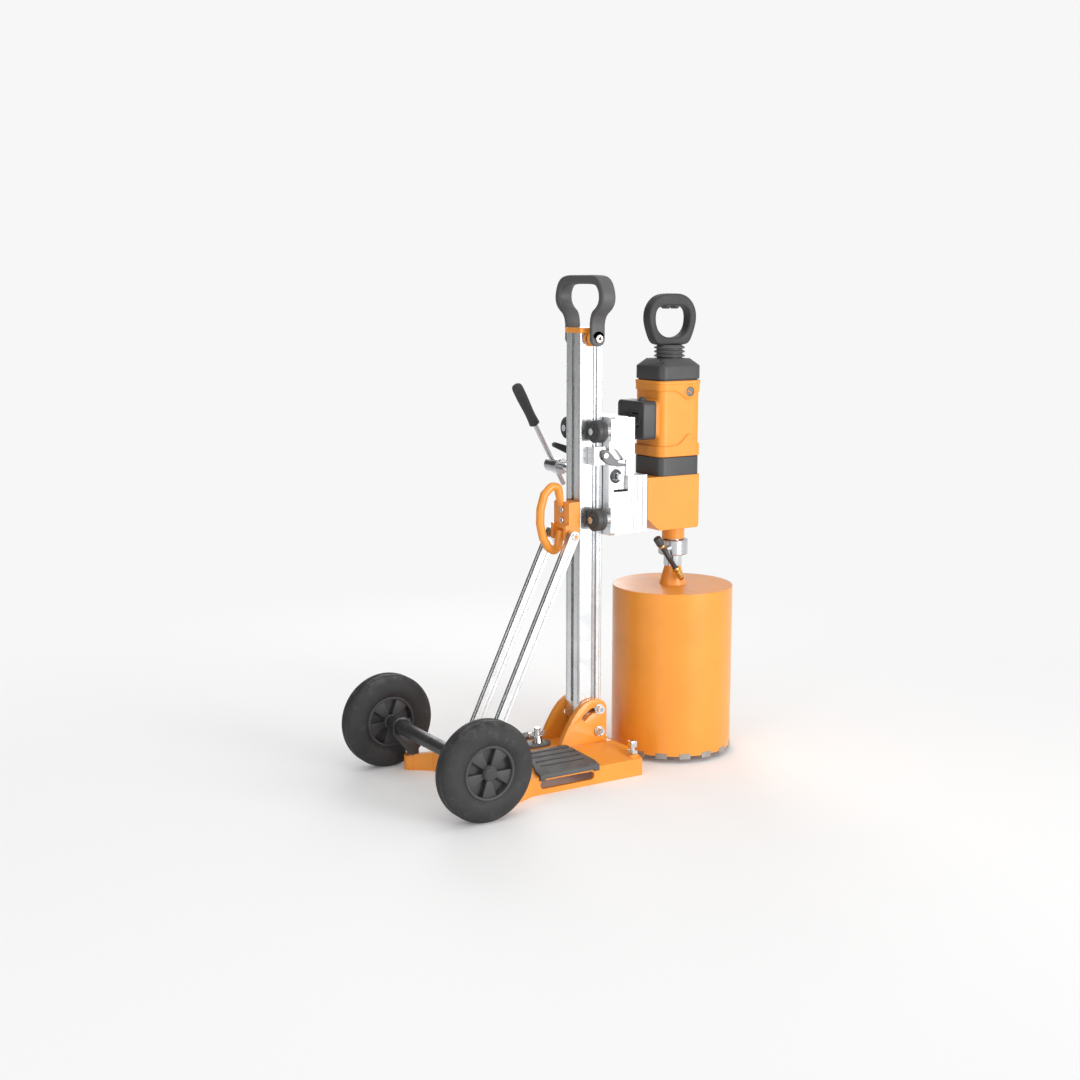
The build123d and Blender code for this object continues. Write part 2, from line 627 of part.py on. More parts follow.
def clamp_block():
    """Brace clamp that slides on the rear T slot, with lugs for both braces."""
    x1 = -MAST_X - CLEAR
    body = block(CLAMP_X0, x1, -CLAMP_HALF, CLAMP_HALF, CLAMP_Z0, CLAMP_Z1)
    body = chamfer(body.edges().filter_by(Axis.Y).group_by(Axis.X)[0], 4)
    lug = block(BRACE_TOP_X - 12, x1, -CLAMP_HALF, -CLAMP_HALF + 12, BRACE_TOP_Z - 12, CLAMP_Z0 + 4)
    lug += block(CLAMP_X0 - 9, x1, -CLAMP_HALF, -CLAMP_HALF + 12, BRACE_TOP_Z, CLAMP_Z0 + 14)
    for piece in both(lug):
        body += piece
    key = block(-MAST_X - 1, -MAST_X + 4.5, -T_MOUTH + CLEAR, T_MOUTH - CLEAR, CLAMP_Z0 + 6, CLAMP_Z1 - 6)
    head = T_HALF - CLEAR
    key += block(-MAST_X + 4.4, -MAST_X + T_DEPTH - CLEAR, -head, head, CLAMP_Z0 + 6, CLAMP_Z1 - 6)
    body += key
    body -= rod("Y", BRACE_TOP_X, BRACE_TOP_Z, -100, 100, BRACE_PIN_R + 0.02)
    for z in CLAMP_SCREWS:
        body -= rod("X", -8, z, CLAMP_X0 - 1, CLAMP_X0 + 12, 4.02)
    return body


def brace_pin():
    """Top pin of the near brace, held in the clamp's lug."""
    outer = BRACE_Y + BRACE_T / 2
    pin = rod("Y", BRACE_TOP_X, BRACE_TOP_Z, -outer - 1, -CLAMP_HALF + 12, BRACE_PIN_R)
    return pin + rod("Y", BRACE_TOP_X, BRACE_TOP_Z, -outer - 4, -outer - CLEAR, 9)


def clamp_screw(z):
    return socket_screw("X", -8, z, CLAMP_X0, -1, 6.5, 6, 4, 11)


def grab_handle():
    """D-shaped grab bar on the back of the brace clamp."""
    points = [(CLAMP_X0 + 2, 646), (CLAMP_X0 - 6, 672), (-74, 690), (-92, 694), (-112, 676), (-123, 640),
              (-124, 606), (-116, 572), (-100, 546), (-84, 538), (-74, 546), (-66, 586)]
    path = FilletPolyline(*[(x, 0, z) for x, z in points], radius=9)
    section = Plane(origin=path @ 0, z_dir=path % 0) * Circle(GRAB_R)
    bar_solid = sweep(section, path=path)
    keep_out = block(CLAMP_X0, 0, -60, 60, 400, 800)
    return bar_solid - keep_out


# ---------------------------------------------------------------- carriage
def back_plate():
    body = block(CAR_X0, CAR_X1, -PLATE_Y, PLATE_Y, CAR_Z0, CAR_Z1)
    body = fillet(body.edges().filter_by(Axis.X), 8)
    low, high = ROLLER_Z
    waist = block(CAR_X0 - 1, CAR_X1 + 1, CAR_Y, PLATE_Y + 1, low + 26, high - 26)
    for piece in both(waist):
        body -= piece
    body -= block(CAR_X0 - 1, RACK_X1 + 2, -RACK_HALF - 3, RACK_HALF + 3, CAR_Z0 - 1, CAR_Z1 + 1)
    body -= rod("Y", PINION_X, PINION_Z, -RACK_HALF - 3, RACK_HALF + 3, PINION_TIP + 1.5)
    body -= rod("Y", PINION_X, PINION_Z, -2 * PLATE_Y, 2 * PLATE_Y, FEED_SHAFT_R + RUN)
    for z in ROLLER_Z:
        for piece in both(rod("X", -roller_y(), z, CAR_X0 - 1, CAR_X1 + 1, ROLLER_BORE + 0.02)):
            body -= piece
    return body


def roller_y():
    return MAST_Y + GUIDE_PROUD + CLEAR + ROLLER_R


def upper_block():
    body = block(CAR_X1, BLOCK_X, -CAR_Y, CAR_Y, UPPER_Z0, CAR_Z1)
    body = fillet(body.edges().filter_by(Axis.Y).group_by(Axis.Z)[-1], 6)
    notch = [(CAR_X1 - 1, UPPER_Z0 - 1), (CAR_X1 - 1, UPPER_Z0 + 30), (CAR_X1 + 10, UPPER_Z0 + 24),
             (CAR_X1 + 24, UPPER_Z0 + 8), (CAR_X1 + 30, UPPER_Z0 - 1)]
    return body - prism_xz(notch, -CAR_Y - 1, -CAR_Y + 10)


def feed_gear_block():
    body = block(CAR_X1, BLOCK_X, -CAR_Y + 12, CAR_Y + 50, GEAR_Z0, GEAR_Z1)
    body = fillet(body.edges().filter_by(Axis.Z), 3)
    body -= rod("Y", PINION_X, PINION_Z, -2 * CAR_Y, 3 * CAR_Y, FEED_SHAFT_R + RUN)
    body -= rod("Y", PINION_X, PINION_Z, -RACK_HALF - 3, RACK_HALF + 3, PINION_TIP + 1.5)
    return body - rod("Y", PINION_X, PINION_Z, -CAR_Y, -CAR_Y + 18, 15)


def lower_block():
    body = block(CAR_X1, LOWER_X, -CAR_Y, CAR_Y, CAR_Z0, LOWER_Z1)
    return fillet(body.edges().filter_by(Axis.Z).group_by(Axis.Y)[0], 2)


def spacer_block():
    body = block(BLOCK_X, SPACER_X, -CAR_Y + 8, CAR_Y - 8, BRACKET_Z, CAR_Z1 - 4)
    return fillet(body.edges().filter_by(Axis.Z), 3)


def motor_bracket():
    """Extruded bracket that carries the gear case, grooved on both sides."""
    body = block(LOWER_X, BRACKET_X, -CAR_Y, CAR_Y, CAR_Z0, BRACKET_Z)
    body += block(BLOCK_X, LOWER_X, -CAR_Y, CAR_Y, LOWER_Z1, BRACKET_Z)
    for side in (-1, 1):
        for x in (106, 115, 131):
            body -= block(x - 1.2, x + 1.2, side * CAR_Y - 2, side * CAR_Y + 2, CAR_Z0 - 1, BRACKET_Z + 1)
    for y in (-30, 30):
        body -= block(LOWER_X + 10, BRACKET_X - 10, y - 12, y + 12, CAR_Z0 - 1, BRACKET_Z + 1)
    return body


def roller(z):
    body = rod("X", -roller_y(), z, ROLLER_X0, ROLLER_X1, ROLLER_R)
    body = chamfer(body.edges().filter_by(GeomType.CIRCLE), 2)
    body -= rod("X", -roller_y(), z, ROLLER_X0 - 1, ROLLER_X0 + 2.5, 20)
    body += rod("X", -roller_y(), z, ROLLER_X0, ROLLER_X0 + 3, 15)
    return body - rod("X", -roller_y(), z, ROLLER_X0 - 1, ROLLER_X1 + 1, ROLLER_BORE + RUN)


def roller_bolt(z):
    screw = socket_screw("X", -roller_y(), z, ROLLER_X0 - CLEAR, -1, 8, 7, ROLLER_BORE, CAR_X1 - ROLLER_X0)
    return screw + rod("X", -roller_y(), z, ROLLER_X1 + CLEAR, CAR_X0, 11)


def lock_block():
    """Clamp block on the near guide rod, open towards its lever."""
    y0 = -MAST_Y - 30
    y1 = -MAST_Y - GUIDE_PROUD - CLEAR
    body = block(-8, 19, y0, y1, 744, 787)
    body += block(19, CAR_X0, y0 + 12, y1, 750, 781)
    body -= block(6, 20, y0 - 1, y0 + 6, 756, 778)
    return body


def lock_face():
    """Steel jaw plate on the back of the near clamp block, with its two screws."""
    y0 = -MAST_Y - 30
    plate = block(-12, -8, y0, -MAST_Y - GUIDE_PROUD - CLEAR, 744, 787)
    for z in (755, 776):
        plate += rod("X", y0 + 16, z, -15, -12, 4.5)
    return plate


def lock_lever():
    """Cam lever of the near clamp; it turns about a pin along Y."""
    y1 = -MAST_Y - 30 - CLEAR
    arm = [(4, 776), (14, 781), (26, 777), (40, 762), (54, 748), (74, 744), (74, 738), (50, 738), (32, 742),
           (18, 750), (10, 757)]
    body = prism_xz(arm, y1 - 7, y1)
    body += rod("Y", 14, 767, y1 - 9, y1, 9)
    return body - rod("Y", 14, 767, y1 - 10, y1 + 1, 4 + RUN)


def lock_pin():
    y0 = -MAST_Y - 30
    outer = y0 - CLEAR - 9.5
    return rod("Y", 14, 767, outer, y0 + 5.9, 4) + rod("Y", 14, 767, outer - 2.5, outer + 0.2, 6)


def brake_block():
    y0 = MAST_Y + GUIDE_PROUD + CLEAR
    body = block(-8, CAR_X0, y0, y0 + 26, 748, 786)
    return body - rod("Y", 8, 767, y0 + 8, y0 + 27, 6 + RUN)


def brake_lever():
    """Black clamp lever on the far side; its stem turns in the brake block."""
    y0 = MAST_Y + GUIDE_PROUD + CLEAR + 26
    stem = rod("Y", 8, 767, y0 - 17, y0 + 4, 6)
    body = stem + rod("Y", 8, 767, y0 + CLEAR, y0 + 18, 11)
    path = [(4, 776), (-40, 790), (-46, 786), (-44, 779), (0, 758)]
    return body + prism_xz(path, y0 + 5, y0 + 15)


# ---------------------------------------------------------------- feed crank
def feed_shaft():
    """Pinion shaft: square stub on the near side, teeth over the rack, crank seat on the far side."""
    body = rod("Y", PINION_X, PINION_Z, -CAR_Y + 8, CRANK_Y + CRANK_HUB - 6, FEED_SHAFT_R)
    body += hexagon("Y", PINION_X, PINION_Z, -CAR_Y - 22, -CAR_Y + 9, 14)
    width = RACK_HALF + 1
    gear = rod("Y", PINION_X, PINION_Z, -width, width, PINION_TIP)
    for i in range(12):
        angle = math.radians(30 * i)
        x = PINION_X + PINION_TIP * math.cos(angle)
        z = PINION_Z + PINION_TIP * math.sin(angle)
        gear -= rod("Y", x, z, -width - 1, width + 1, 1.9)
    return body + gear


def crank_way():
    angle = math.radians(CRANK_ANGLE)
    return -math.sin(angle), math.cos(angle)


def crank_point(distance):
    ux, uz = crank_way()
    return PINION_X + ux * distance, CRANK_Y + CRANK_HUB * 0.6, PINION_Z + uz * distance


def crank_hub():
    body = rod("Y", PINION_X, PINION_Z, CRANK_Y, CRANK_Y + CRANK_HUB * 0.42, 20)
    body += rod("Y", PINION_X, PINION_Z, CRANK_Y + CRANK_HUB * 0.4, CRANK_Y + CRANK_HUB, 17)
    body -= rod("Y", PINION_X, PINION_Z, CRANK_Y - 1, CRANK_Y + CRANK_HUB - 6, FEED_SHAFT_R + 0.02)
    return body - bar(crank_point(-40), crank_point(40), 6.02)


def crank_arm():
    """Round bar through the hub, necked down to the grip's pin."""
    body = bar(crank_point(-CRANK_DOWN), crank_point(-FEED_SHAFT_R - 0.3), 6)
    upper = bar(crank_point(FEED_SHAFT_R + 0.3), crank_point(CRANK_UP), 6)
    upper += bar(crank_point(CRANK_UP - 1), crank_point(CRANK_UP + CRANK_GRIP - 4), 4.5)
    return [body, upper]


def crank_grip():
    start = CRANK_UP + CLEAR
    end = CRANK_UP + CRANK_GRIP
    body = bar(crank_point(start), crank_point(end), 14)
    body = fillet(body.edges().filter_by(GeomType.CIRCLE), 5)
    body -= bar(crank_point(start - 1), crank_point(end - 3.5), 4.5 + RUN)
    return body


# ---------------------------------------------------------------- motor
def gear_case():
    x0 = BRACKET_X
    points = [(x0, CASE_Z0 + 34), (x0 + 40, CASE_Z0), (MOTOR_X1 - 8, CASE_Z0), (MOTOR_X1, CASE_Z0 + 12),
              (MOTOR_X1, CASE_Z1), (x0, CASE_Z1)]
    body = prism_xz(points, -MOTOR_Y, MOTOR_Y)
    body = fillet(body.edges().filter_by(Axis.Z), 8)
    inside = MOTOR_Y - SHELL
    hollow = block(x0 + 3 * SHELL, MOTOR_X1 - SHELL, -inside, inside, CASE_Z0 + 24, CASE_Z1 - SHELL)
    body -= hollow
    body += rod("Z", SPINDLE_X, 0, NOSE_Z, CASE_Z0 + 5, NOSE_R)
    body -= rod("Z", SPINDLE_X, 0, NOSE_Z - 1, CASE_Z0 + 30, SHAFT_R + 5)
    body -= rod("Z", ARM_X, 0, CASE_Z1 - SHELL - 1, CASE_Z1 + 1, 14)
    return body - rod("Z", LAY_X, LAY_Y, CASE_Z0 + 12, CASE_Z1 + 1, 6 + RUN)


def square_ring(x0, x1, y, z0, z1, wall, corner):
    outer = fillet(block(x0, x1, -y, y, z0, z1).edges().filter_by(Axis.Z), corner)
    inner = block(x0 + wall, x1 - wall, -y + wall, y - wall, z0 - 1, z1 + 1)
    inner = fillet(inner.edges().filter_by(Axis.Z), max(corner - wall, 2))
    return outer - inner


def gear_band():
    body = square_ring(MOTOR_X0 - 1, MOTOR_X1, MOTOR_Y, CASE_Z1, BAND_Z1, 3 * SHELL, 9)
    inside = MOTOR_Y - SHELL
    floor = block(MOTOR_X0 + SHELL, MOTOR_X1 - SHELL, -inside, inside, CASE_Z1, CASE_Z1 + 10)
    floor -= rod("Z", ARM_X, 0, CASE_Z1 - 1, CASE_Z1 + 11, 14)
    floor -= rod("Z", LAY_X, LAY_Y, CASE_Z1 - 1, CASE_Z1 + 6, 6 + RUN)
    return body + floor


def motor_housing():
    """Orange motor shell with a flared foot, shoulders and brush bosses."""
    body = square_ring(MOTOR_X0, MOTOR_X1, MOTOR_Y, BAND_Z1, BODY_Z1, SHELL, 13)
    flare = square_ring(MOTOR_X0 - 2, MOTOR_X1 + 1, MOTOR_Y + 1.5, BAND_Z1, BAND_Z1 + 34, SHELL, 13)
    body += flare
    lip = square_ring(MOTOR_X0 - 1, MOTOR_X1 + 1, MOTOR_Y + 1, BODY_Z1 - 18, BODY_Z1, SHELL, 13)
    body += lip
    boss = rod("Y", ARM_X + 22, 908, -MOTOR_Y - 3, -MOTOR_Y + SHELL - 1, 19)
    for piece in both(boss):
        body += piece
    for piece in both(rod("Y", ARM_X + 22, 908, -MOTOR_Y - 4, -MOTOR_Y + 10, 12)):
        body -= piece
    window = block(MOTOR_X0 - 3, MOTOR_X0 + 6, -20, 20, 820, 868)
    body -= window
    return body


def brush_cap():
    body = rod("Y", ARM_X + 22, 908, -MOTOR_Y - 4, -MOTOR_Y + 6, 11.9)
    body = chamfer(body.edges().filter_by(GeomType.CIRCLE).group_by(Axis.Y)[0], 1.2)
    body -= Pos(ARM_X + 22, -MOTOR_Y - 4, 908) * Rot(0, 30, 0) * Box(18, 4, 3.2)
    return body


def brush():
    """Carbon brush behind its cap."""
    return block(ARM_X + 14, ARM_X + 30, -MOTOR_Y + 6.1, -24, 902, 914)


def motor_cap():
    body = square_ring(MOTOR_X0 - 1, MOTOR_X1 + 1, MOTOR_Y + 1, BODY_Z1 + 3, CAP_Z1 - 17, SHELL, 13)
    x0 = MOTOR_X0 - 1
    x1 = MOTOR_X1 + 1
    y = MOTOR_Y + 1
    base = Plane(origin=((x0 + x1) / 2, 0, CAP_Z1 - 17)) * RectangleRounded(x1 - x0, 2 * y, 13)
    top = Plane(origin=((x0 + x1) / 2, 0, CAP_Z1)) * RectangleRounded(x1 - x0 - 38, 2 * y - 38, 10)
    body += loft([base, top])
    seat = square_ring(x0 + 3, x1 - 3, y - 3, BODY_Z1, BODY_Z1 + 4, 5, 10)
    body += seat
    body -= rod("Z", ARM_X, 0, CAP_Z1 - 18, CAP_Z1 - 8, 9.6)
    for x in (ARM_X - 48, ARM_X + 48):
        for side in (-1, 1):
            body -= rod("Z", x, side * 44, CAP_Z1 - 30, CAP_Z1, 3)
    return body


def grip_neck():
    body = rod("Z", ARM_X + 3, 0, CAP_Z1, NECK_Z1, NECK_R - 5)
    pitch = (NECK_Z1 - CAP_Z1) / 3
    for i in range(3):
        z = CAP_Z1 + 2 + pitch * i
        body += rod("Z", ARM_X + 3, 0, z, z + pitch - 4, NECK_R)
    return body


def motor_grip():
    """D grip on top of the motor with finger scallops under its bar."""
    x = ARM_X + 3
    h = GRIP_HALF
    z0 = GRIP_Z0
    z1 = GRIP_Z1
    outer = [(-34, z0), (-52, z0 + 9), (-62, z0 + 34), (-h, z0 + 62), (-h + 3, z0 + 92), (-52, z0 + 112),
             (-30, z1 - 3), (0, z1)]
    outer += [(-u, w) for u, w in reversed(outer[:-1])]
    inner = [(-8, z0 + 22), (-34, z0 + 36), (-44, z0 + 52), (-43, z0 + 76), (-34, z1 - 35), (-22, z1 - 32),
             (-13, z1 - 37), (0, z1 - 37), (9, z1 - 37), (16, z1 - 33), (30, z1 - 36), (42, z0 + 76),
             (44, z0 + 52), (34, z0 + 36), (8, z0 + 22)]
    half = GRIP_T / 2
    body = prism_xz([(x + u, w) for u, w in outer], -half, half)
    body -= prism_xz([(x + u, w) for u, w in inner], -half - 1, half + 1)
    return body


def switch_box():
    body = block(SWITCH_X0, SWITCH_X1, -55, 55, SWITCH_Z0, SWITCH_Z1)
    body = fillet(body.edges().filter_by(Axis.Y), 9)
    body = fillet(body.edges().filter_by(Axis.Z).group_by(Axis.X)[0], 4)
    body -= block(SWITCH_X0 + 4, SWITCH_X1 - 4, -50, 50, SWITCH_Z0 + 5, SWITCH_Z1 - 5)
    body -= block(SWITCH_X0 - 1, SWITCH_X0 + 5, -38, -10, 826, 860)
    return body - rod("X", 22, 843, SWITCH_X0 - 1, SWITCH_X0 + 5, 9 + CLEAR)


def switch_mount():
    body = block(SWITCH_X1, MOTOR_X0, -46, 46, SWITCH_Z0 + 6, SWITCH_Z1 - 4)
    return body - block(SWITCH_X1 - 1, MOTOR_X0 + 1, -18, 18, 822, 866)


def power_rocker():
    """Rocker switch in the switch box; it tips about an axis along Y."""
    x = SWITCH_X0
    points = [(x - 3, 830), (x - 5, 834), (x - 1.5, 843), (x - 1, 856), (x + 4, 856), (x + 8, 843), (x + 4, 830)]
    body = prism_xz(points, -37, -11)
    return body + rod("Y", x + 5, 843, -37.6, -10.4, 3.6)


def speed_dial():
    body = rod("X", 22, 843, SWITCH_X0 - 9, SWITCH_X0 - CLEAR, 14)
    body += rod("X", 22, 843, SWITCH_X0 - 2, SWITCH_X0 + 6, 9)
    return body - block(SWITCH_X0 - 10, SWITCH_X0 - 7.5, 21, 23, 844, 860)


def cable_gland():
    z = SWITCH_Z1
    body = rod("Z", 152, -22, z, z + 9, 9) + hexagon("Z", 152, -22, z, z + 4, 20)
    return body - rod("Z", 152, -22, z - 1, z + 10, 4.5)


def stator():
    outer = rod("Z", ARM_X, 0, 800, 892, 50)
    return outer - rod("Z", ARM_X, 0, 799, 893, 33)


def stator_frame():
    body = square_ring(MOTOR_X0 + SHELL, MOTOR_X1 - SHELL, MOTOR_Y - SHELL, 810, 882, 4, 8)
    for side in (-1, 1):
        body += Pos(ARM_X + side * 50.5, 0, 846) * Box(7, 20, 68)
    return body - rod("Z", ARM_X, 0, 799, 893, 50)


def armature_shaft():
    body = rod("Z", ARM_X, 0, 690, 978, 7)
    body += rod("Z", ARM_X, 0, 660, 690, ARM_PINION)
    for i in range(10):
        angle = math.radians(36 * i)
        body -= rod("Z", ARM_X + ARM_PINION * math.cos(angle), ARM_PINION * math.sin(angle), 659, 688, 1.1)
    return body


def armature_core():
    body = rod("Z", ARM_X, 0, 802, 890, 32)
    for i in range(12):
        angle = math.radians(30 * i)
        body -= rod("Z", ARM_X + 32 * math.cos(angle), 32 * math.sin(angle), 801, 891, 3)
    body += rod("Z", ARM_X, 0, 898, 922, 22)
    body += rod("Z", ARM_X, 0, 889, 899, 14)
    return body - rod("Z", ARM_X, 0, 801, 923, 7.02)


def cooling_fan():
    hub_solid = tube("Z", ARM_X, 0, 764, 786, 16, 7.02)
    body = hub_solid + tube("Z", ARM_X, 0, 764, 768, 44, 12)
    for i in range(9):
        blade = Pos(28, 0, 775) * Box(28, 2, 16)
        body += Pos(ARM_X, 0, 0) * Rot(0, 0, 40 * i) * blade
    return body


def armature_bearing(z0, outer):
    return tube("Z", ARM_X, 0, z0, z0 + 9, outer, 7 + RUN)


def lay_distance():
    return math.hypot(ARM_X - LAY_X, LAY_Y)


def lay_shaft():
    """Lay shaft with its large driven gear and small driving gear."""
    body = rod("Z", LAY_X, LAY_Y, CASE_Z0 + 18, CASE_Z1 + 5.5, 6)
    big = lay_distance() - ARM_PINION - CLEAR
    small = math.hypot(SPINDLE_X - LAY_X, LAY_Y) - SPINDLE_GEAR - CLEAR
    body += rod("Z", LAY_X, LAY_Y, 664, 684, big)
    body += rod("Z", LAY_X, LAY_Y, 606, 650, small)
    for radius, count, z0, z1 in ((big, 30, 663, 685), (small, 22, 605, 651)):
        for i in range(count):
            angle = 2 * math.pi * i / count
            x = LAY_X + radius * math.cos(angle)
            y = LAY_Y + radius * math.sin(angle)
            body -= rod("Z", x, y, z0, z1, 1.2)
    return body


def spindle():
    """Output spindle with its gear and the threaded end that takes the bit."""
    body = rod("Z", SPINDLE_X, 0, NECK_Z - 22, 652, SHAFT_R)
    body += rod("Z", SPINDLE_X, 0, NECK_Z, COLLAR_Z0 - CLEAR, 23)
    body += rod("Z", SPINDLE_X, 0, 612, 640, SPINDLE_GEAR)
    for i in range(36):
        angle = 2 * math.pi * i / 36
        x = SPINDLE_X + SPINDLE_GEAR * math.cos(angle)
        y = SPINDLE_GEAR * math.sin(angle)
        body -= rod("Z", x, y, 611, 641, 1.3)
    return body - rod("Z", SPINDLE_X, 0, NECK_Z - 23, 560, 5)


def spindle_bearing(z0, height):
    return tube("Z", SPINDLE_X, 0, z0, z0 + height, SHAFT_R + 5, SHAFT_R + RUN)


def water_collar():
    """Water swivel collar that stays still round the spindle."""
    body = rod("Z", SPINDLE_X, 0, COLLAR_Z0, COLLAR_Z1, COLLAR_R)
    body = chamfer(body.edges().filter_by(GeomType.CIRCLE), 2)
    body += rod("Z", SPINDLE_X, 0, COLLAR_Z1 - 1, NOSE_Z, 24)
    body -= rod("Z", SPINDLE_X, 0, COLLAR_Z0 - 1, NOSE_Z + 1, SHAFT_R + RUN)
    body += bar((SPINDLE_X - 27, -21, 519), (208, -45, 519), 7)
    body -= rod("Z", SPINDLE_X, 0, COLLAR_Z0 - 1, NOSE_Z + 1, SHAFT_R + RUN)
    return body - bar(lance_point(-10), lance_point(200), 9)


def lance_point(distance):
    dx = 72.0
    dz = -99.0
    length = math.hypot(dx, dz)
    return 184 + dx / length * distance, -45, 552 + dz / length * distance


def lance_part(t0, t1, radius):
    return bar(lance_point(t0), lance_point(t1), radius)


def water_sleeve():
    body = fillet(lance_part(0, 24, 12).edges().filter_by(GeomType.CIRCLE).group_by(Axis.Z)[-1], 4)
    return body


def water_valve():
    """Dark pipe between sleeve and hose tail, with the brass ring above it."""
    return lance_part(29, 98, 8.9)


def water_ring():
    return lance_part(24, 29, 11)


def water_tail():
    body = lance_part(98, 108, 12)
    body += lance_part(108, 134, 9)
    for t in (112, 119, 126):
        body += lance_part(t, t + 3, 10.5)
    return body - lance_part(100, 140, 5)


# ---------------------------------------------------------------- core bit
def bit_hub():
    """Tapered coupling and end plate of the core bit."""
    z = BIT_Z1
    body = rod("Z", SPINDLE_X, 0, z - BIT_TOP, z, BIT_R - BIT_WALL - 0.05)
    stand = (Align.CENTER, Align.CENTER, Align.MIN)
    body += Pos(SPINDLE_X, 0, z) * Cone(34, 20, NECK_Z - z - CLEAR, align=stand)
    body -= rod("Z", SPINDLE_X, 0, NECK_Z - 23, NECK_Z + 1, SHAFT_R + 0.02)
    return body - rod("Z", SPINDLE_X, 0, z - BIT_TOP - 1, NECK_Z, 6)


def bit_barrel():
    body = rod("Z", SPINDLE_X, 0, BIT_Z0 + SEG_H / 2, BIT_Z1, BIT_R)
    body = fillet(body.edges().filter_by(GeomType.CIRCLE).group_by(Axis.Z)[-1], 2.5)
    body -= rod("Z", SPINDLE_X, 0, BIT_Z0 - 1, BIT_Z1 + 1, BIT_R - BIT_WALL)
    return body - Compound(children=[seg.solids()[0] for seg in segment_shapes(0.05)])


def segment_shapes(grow):
    """Diamond segments let half way into the barrel's lower rim."""
    outer = BIT_R + 0.7
    ring = rod("Z", SPINDLE_X, 0, BIT_Z0, BIT_Z0 + SEG_H + grow, outer + grow)
    ring -= rod("Z", SPINDLE_X, 0, BIT_Z0 - 1, BIT_Z0 + SEG_H + 2, outer - SEG_T - grow)
    cutter = block(0, BIT_R + 20, -SEG_L / 2 - grow, SEG_L / 2 + grow, BIT_Z0 - 1, BIT_Z0 + SEG_H + 2)
    shapes = []
    for i in range(SEGMENTS):
        turned = Pos(SPINDLE_X, 0, 0) * Rot(0, 0, 360 / SEGMENTS * i) * cutter
        shapes.append(ring & turned)
    return shapes


def lay_out_base():
    save("base_plate", base_plate())
    save("foot_treads", *both(tread()))
    save("base_lugs", *(both(cheek()) + both(axle_lug()) + both(brace_lug())))
    save("axle_sleeve", tube("Y", AXLE_X, WHEEL_R, -SLEEVE_END, SLEEVE_END, SLEEVE_R, AXLE_R + 0.02))
    end = WHEEL_Y + WHEEL_W / 2
    ring = tube("Y", AXLE_X, WHEEL_R, -end + 0.5, -end + 3.7, BOSS_R - 4, AXLE_R + 0.02)
    save("axle_rod", rod("Y", AXLE_X, WHEEL_R, -end, end, AXLE_R), *both(ring))
    for name, shape in (("tyre", tyre()), ("hub", hub())):
        save(f"wheel_right_{name}", shape)
        save(f"wheel_left_{name}", mirror_y(shape))
    places = {"front": (LEVEL_X, LEVEL_Y), "rear": (REAR_X, REAR_Y)}
    for name, (x, y) in places.items():
        save(f"level_screw_{name}_right", levelling_screw(x, -y, LEVEL_TOP))
        save(f"level_screw_{name}_left", levelling_screw(x, y, LEVEL_TOP))
    front = jam_nut(LEVEL_X, -LEVEL_Y, LEVEL_BOSS + 0.3, 0)
    rear = jam_nut(REAR_X, -REAR_Y, SIDE_H + 0.3, 0)
    save("jam_nuts", *(both(front) + both(rear)))
    save("anchor_rod", rod("Z", ANCHOR_X, 0, 4, DECK_H + 44, 8), anchor_washer())
    save("anchor_wing_nut", wing_nut())
    save("bubble_level", bubble_level())


def lay_out_column():
    save("mast", mast(), mast_foot())
    save("guide_rods", *both(guide_rod()))
    save("gear_rack", gear_rack())
    save("tilt_screws", *(both(tilt_screw(PIVOT_Z)) + both(tilt_screw(PIVOT_Z + SLOT_R))))
    save("mast_cap", mast_cap(), *both(handle_boss()))
    save("carry_handle", carry_handle())
    fixings = [clamp_screw(z) for z in CLAMP_SCREWS] + both(brace_pin())
    save("brace_clamp", clamp_block(), *fixings)
    save("grab_handle", grab_handle())
    save("braces", *(both(brace()) + both(brace_foot_pin())))


def lay_out_carriage():
    low, high = ROLLER_Z
    save("carriage_body", back_plate() + lower_block())
    save("carriage_blocks", upper_block(), feed_gear_block())
    save("motor_bracket", motor_bracket() + spacer_block())
    save("roller_bolts", *(both(roller_bolt(low)) + both(roller_bolt(high))))
    for name, z in (("low", low), ("high", high)):
        save(f"roller_{name}_right", roller(z))
        save(f"roller_{name}_left", mirror_y(roller(z)))
    save("clamp_blocks", lock_block(), lock_face(), lock_pin(), brake_block())
    save("lock_lever", lock_lever())
    save("brake_lever", brake_lever())
    save("feed_shaft", feed_shaft())
    save("crank_arm", crank_hub(), *crank_arm())
    save("crank_grip", crank_grip())


def lay_out_motor():
    save("gear_case", gear_case())
    save("gear_band", gear_band())
    save("motor_housing", motor_housing() + switch_mount())
    save("brush_sets", *(both(brush_cap()) + both(brush())))
    save("motor_cap", motor_cap())
    save("grip_neck", grip_neck())
    save("motor_grip", motor_grip())
    save("switch_box", switch_box() + cable_gland())
    save("power_rocker", power_rocker())
    save("speed_dial", speed_dial())
    save("stator", stator(), stator_frame())
    save("bearings", armature_bearing(BAND_Z1 - 40, 13.9), armature_bearing(CAP_Z1 - 18, 9.5),
         spindle_bearing(NOSE_Z + 2, 24), spindle_bearing(NOSE_Z + 30, 20))
    save("armature", armature_shaft(), armature_core(), cooling_fan())
    save("lay_shaft", lay_shaft())
    save("spindle", spindle())
    save("water_collar", water_collar())
    save("water_lance", water_sleeve(), water_ring(), water_valve(), water_tail())
    save("bit_hub", bit_hub())
    save("bit_barrel", bit_barrel())
    save("bit_segments", *segment_shapes(0))


if __name__ == "__main__":
    os.makedirs("parts", exist_ok=True)
    lay_out_base()
    lay_out_column()
    lay_out_carriage()
    lay_out_motor()
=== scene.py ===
"""Core drill rig: its visible pieces, finishes and studio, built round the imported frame."""

from math import atan2, cos, exp, pi, radians, sin, tau

import bpy
from mathutils import Matrix, Vector


